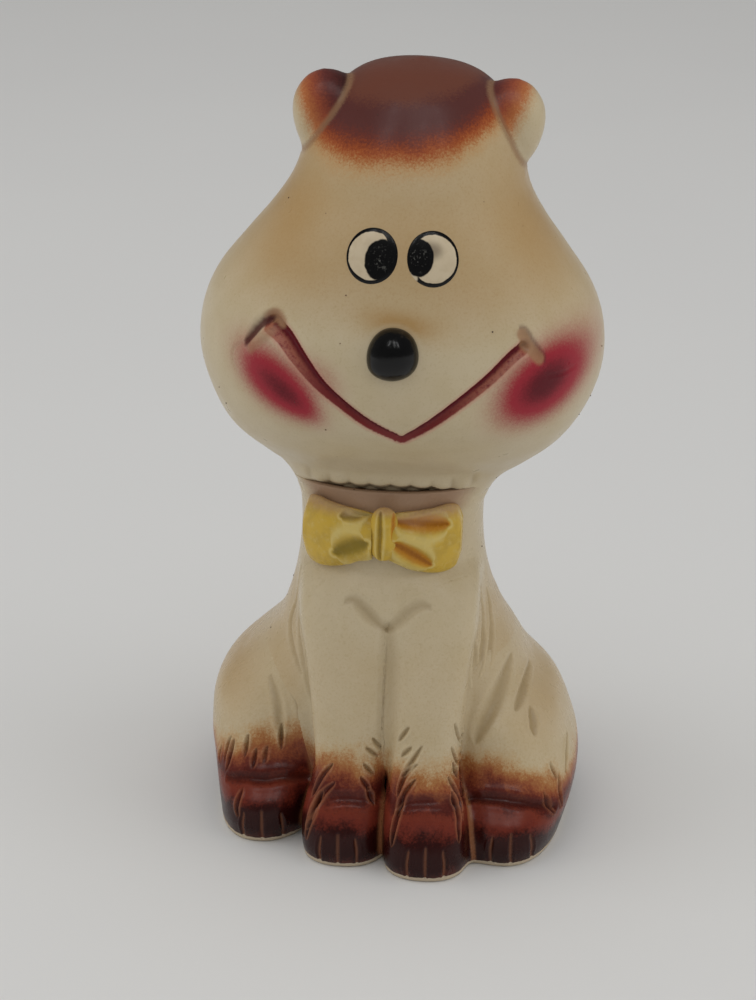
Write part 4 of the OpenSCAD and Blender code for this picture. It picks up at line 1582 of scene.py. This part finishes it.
def make_specks(sizes):
    """Tiny iron specks scattered in the clear glaze of the head and the torso."""
    recipe = Recipe("Specks on a surface", {
        "Density": "NodeSocketFloat", "Radius": "NodeSocketFloat", "Seed": "NodeSocketInt",
        "Glaze": "NodeSocketMaterial"})
    scattered = recipe.add("GeometryNodeDistributePointsOnFaces", {"distribute_method": "RANDOM"}, {
        "Mesh": recipe.given("Geometry"), "Density": recipe.given("Density"), "Seed": recipe.given("Seed")})
    bead = recipe.add("GeometryNodeMeshIcoSphere", {}, {"Radius": recipe.given("Radius"), "Subdivisions": 1})
    recipe.finish(scattered, bead, recipe.random(0.4, 1.2))
    glaze = speck_glaze()
    for name, seed in SPECK_SEEDS.items():
        recipe.grown(f"iron_specks_{name}", bpy.data.objects[f"{name}_cream_glaze"].data.copy(), {
            "Density": sizes.specks / SPECK_AREA, "Radius": SPECK_RADIUS * MM, "Seed": seed, "Glaze": glaze})


# ---- studio --------------------------------------------------------------------------------------

CAMERA_AZIMUTH, CAMERA_DISTANCE, CAMERA_HEIGHT, CAMERA_AIM = 6.5, 0.492, 0.262, 0.080
CAMERA_ROLL, LENS, SENSOR = 0.5, 88.06, 36.0
SHIFT_X, SHIFT_Y = -0.021, -0.046
NEAREST, FARTHEST = 0.01, 50
# Each light's place, the point that it aims at, and its width and height, in metres
OVERHEAD = (0.0, -0.25, 1.8), (0, 0, 0.09), 2.2, 2.0
SIDE_LIGHTS = [((side * 1.1, -0.2, 0.45), (0, 0, 0.09), 0.9, 0.9) for side in (-1, 1)]
WINDOWS = [((x, -0.69, 1.26), (0, 0, 0.14), 0.035, 0.62) for x in (-0.39, 0.12, 0.5)]
ROOM_COLOUR = (1.0, 0.99, 0.97, 1.0)
ROOM_REFLECTION = 0.35  # the room that the glaze mirrors, as a share of the one that lights it
FLOOR_HALF, FLOOR_Z = 3.0, -0.0002


def make_camera():
    lens = bpy.data.cameras.new("camera")
    lens.lens, lens.sensor_width = LENS, SENSOR
    lens.shift_x, lens.shift_y = SHIFT_X, SHIFT_Y
    lens.clip_start, lens.clip_end = NEAREST, FARTHEST
    camera = bpy.data.objects.new("camera", lens)
    a = math.radians(CAMERA_AZIMUTH)
    camera.location = (CAMERA_DISTANCE * math.sin(a), -CAMERA_DISTANCE * math.cos(a), CAMERA_HEIGHT)
    look = Vector((0, 0, CAMERA_AIM)) - camera.location
    camera.rotation_euler = (look.to_track_quat("-Z", "Y").to_matrix()
                             @ Matrix.Rotation(math.radians(CAMERA_ROLL), 3, "Z")).to_euler()
    bpy.context.scene.collection.objects.link(camera)
    bpy.context.scene.camera = camera


def make_light(name, place, aim, width, height, power):
    lamp = bpy.data.lights.new(name, "AREA")
    lamp.shape, lamp.size, lamp.size_y, lamp.energy = "RECTANGLE", width, height, power
    light = bpy.data.objects.new(name, lamp)
    light.location = place
    light.rotation_euler = (Vector(aim) - Vector(place)).to_track_quat("-Z", "Y").to_euler()
    bpy.context.scene.collection.objects.link(light)
    return light


def make_stage(studio):
    """A wide pale floor, a bright room, soft light from above and from both sides, and narrow windows."""
    f = Finish("studio_paper")
    colour = f.mix(f.noise(300, 2, 0.5).rise(0.3, 0.7) * 0.25, studio.floor, tint(220, 220, 220))
    paper = f.close(colour, f.noise(60, 1, 0.5) * 0.05 + 0.6)
    mesh = bpy.data.meshes.new("studio_floor")
    corners = [(x * FLOOR_HALF, y * FLOOR_HALF, 0) for x, y in ((-1, -1), (1, -1), (1, 1), (-1, 1))]
    mesh.from_pydata(corners, [], [(0, 1, 2, 3)])
    mesh.materials.append(paper)
    floor = bpy.data.objects.new("studio_floor", mesh)
    floor.location.z = FLOOR_Z
    bpy.context.scene.collection.objects.link(floor)
    world = bpy.data.worlds.new("room")
    bpy.context.scene.world = world
    world.use_nodes = True
    background = world.node_tree.nodes["Background"]
    background.inputs["Color"].default_value = ROOM_COLOUR
    nodes, links = world.node_tree.nodes, world.node_tree.links
    rays, dim = nodes.new("ShaderNodeLightPath"), nodes.new("ShaderNodeMapRange")
    links.new(rays.outputs["Is Glossy Ray"], dim.inputs["Value"])
    dim.inputs["To Min"].default_value = studio.ambient
    dim.inputs["To Max"].default_value = studio.ambient * ROOM_REFLECTION
    links.new(dim.outputs["Result"], background.inputs["Strength"])
    make_light("overhead", *OVERHEAD, studio.overhead).visible_glossy = False
    for k, spot in enumerate(SIDE_LIGHTS):
        make_light(f"side_{k}", *spot, studio.side).visible_glossy = False
    for k, spot in enumerate(WINDOWS):
        make_light(f"window_{k}", *spot, studio.window).visible_diffuse = False
    bpy.context.scene.view_settings.view_transform = "Standard"
    make_camera()


# ---- operators -----------------------------------------------------------------------------------


class FigurineStep:
    """What every step shares: it can be undone."""

    bl_options = {"REGISTER", "UNDO"}


class FIGURINE_OT_stage(FigurineStep, bpy.types.Operator):
    """Adds the floor, the lights and the camera"""

    bl_idname = "figurine.stage"
    bl_label = "Stage"

    def execute(self, context):
        make_stage(settings()[2])
        return {"FINISHED"}


class FIGURINE_OT_head(FigurineStep, bpy.types.Operator):
    """Builds the hollow head with its smile and its painted cap and cheeks"""

    bl_idname = "figurine.head"
    bl_label = "Head"

    def execute(self, context):
        make_head(*glazes_and_sizes())
        return {"FINISHED"}


class FIGURINE_OT_torso(FigurineStep, bpy.types.Operator):
    """Builds the hollow torso and neck"""

    bl_idname = "figurine.torso"
    bl_label = "Torso"

    def execute(self, context):
        make_torso(*glazes_and_sizes())
        return {"FINISHED"}


class FIGURINE_OT_forelegs(FigurineStep, bpy.types.Operator):
    """Builds both front legs"""

    bl_idname = "figurine.forelegs"
    bl_label = "Forelegs"

    def execute(self, context):
        make_legs(*glazes_and_sizes(), "foreleg")
        return {"FINISHED"}


class FIGURINE_OT_hind_legs(FigurineStep, bpy.types.Operator):
    """Builds both hind legs"""

    bl_idname = "figurine.hind_legs"
    bl_label = "Hind legs"

    def execute(self, context):
        make_legs(*glazes_and_sizes(), "hind_leg")
        return {"FINISHED"}


class FIGURINE_OT_tail(FigurineStep, bpy.types.Operator):
    """Builds the tail"""

    bl_idname = "figurine.tail"
    bl_label = "Tail"

    def execute(self, context):
        make_tail(*glazes_and_sizes())
        return {"FINISHED"}


class FIGURINE_OT_ears(FigurineStep, bpy.types.Operator):
    """Builds both ears"""

    bl_idname = "figurine.ears"
    bl_label = "Ears"

    def execute(self, context):
        make_ears(*glazes_and_sizes())
        return {"FINISHED"}


class FIGURINE_OT_nose(FigurineStep, bpy.types.Operator):
    """Builds the nose"""

    bl_idname = "figurine.nose"
    bl_label = "Nose"

    def execute(self, context):
        make_nose(*glazes_and_sizes())
        return {"FINISHED"}


class FIGURINE_OT_eyes(FigurineStep, bpy.types.Operator):
    """Builds both eye discs"""

    bl_idname = "figurine.eyes"
    bl_label = "Eyes"

    def execute(self, context):
        make_eyes(*glazes_and_sizes())
        return {"FINISHED"}


class FIGURINE_OT_bow(FigurineStep, bpy.types.Operator):
    """Builds the bow tie's two loops and its knot"""

    bl_idname = "figurine.bow"
    bl_label = "Bow tie"

    def execute(self, context):
        make_bow(*glazes_and_sizes())
        return {"FINISHED"}


class FIGURINE_OT_foot_slab(FigurineStep, bpy.types.Operator):
    """Gives the foot slab its bare clay finish"""

    bl_idname = "figurine.foot_slab"
    bl_label = "Foot slab"

    def execute(self, context):
        make_foot_slab(settings()[0])
        return {"FINISHED"}


class FIGURINE_OT_tufts(FigurineStep, bpy.types.Operator):
    """Adds the tufts under the chin"""

    bl_idname = "figurine.tufts"
    bl_label = "Chin tufts"

    def execute(self, context):
        make_tufts(*glazes_and_sizes())
        return {"FINISHED"}


class FIGURINE_OT_specks(FigurineStep, bpy.types.Operator):
    """Scatters the iron specks"""

    bl_idname = "figurine.specks"
    bl_label = "Iron specks"

    def execute(self, context):
        make_specks(settings()[1])
        return {"FINISHED"}


STEPS = (
    FIGURINE_OT_stage, FIGURINE_OT_head, FIGURINE_OT_torso, FIGURINE_OT_forelegs, FIGURINE_OT_hind_legs,
    FIGURINE_OT_tail, FIGURINE_OT_ears, FIGURINE_OT_nose, FIGURINE_OT_eyes, FIGURINE_OT_bow,
    FIGURINE_OT_foot_slab, FIGURINE_OT_tufts, FIGURINE_OT_specks,
)


class FIGURINE_PT_panel(bpy.types.Panel):
    """Lists the figurine's steps and settings"""

    bl_idname = "FIGURINE_PT_panel"
    bl_label = "Dog figurine"
    bl_space_type = "VIEW_3D"
    bl_region_type = "UI"
    bl_category = "Figurine"

    def draw(self, context):
        for step in STEPS:
            self.layout.operator(step.bl_idname)
        for group in settings():
            box = self.layout.box()
            for name in group.__annotations__:
                box.prop(group, name)


GROUPS = {"figurine_glazes": GlazeColours, "figurine_carving": CarvingSizes, "figurine_studio": StudioSettings}


def register():
    for kind in (*GROUPS.values(), *STEPS, FIGURINE_PT_panel):
        bpy.utils.register_class(kind)
    for name, group in GROUPS.items():
        setattr(bpy.types.Scene, name, bpy.props.PointerProperty(type=group))


def unregister():
    for name in GROUPS:
        delattr(bpy.types.Scene, name)
    for kind in reversed((*GROUPS.values(), *STEPS, FIGURINE_PT_panel)):
        bpy.utils.unregister_class(kind)


def main():
    register()
    for step in STEPS:
        group, name = step.bl_idname.split(".")
        getattr(getattr(bpy.ops, group), name)()


if __name__ == "__main__":
    main()
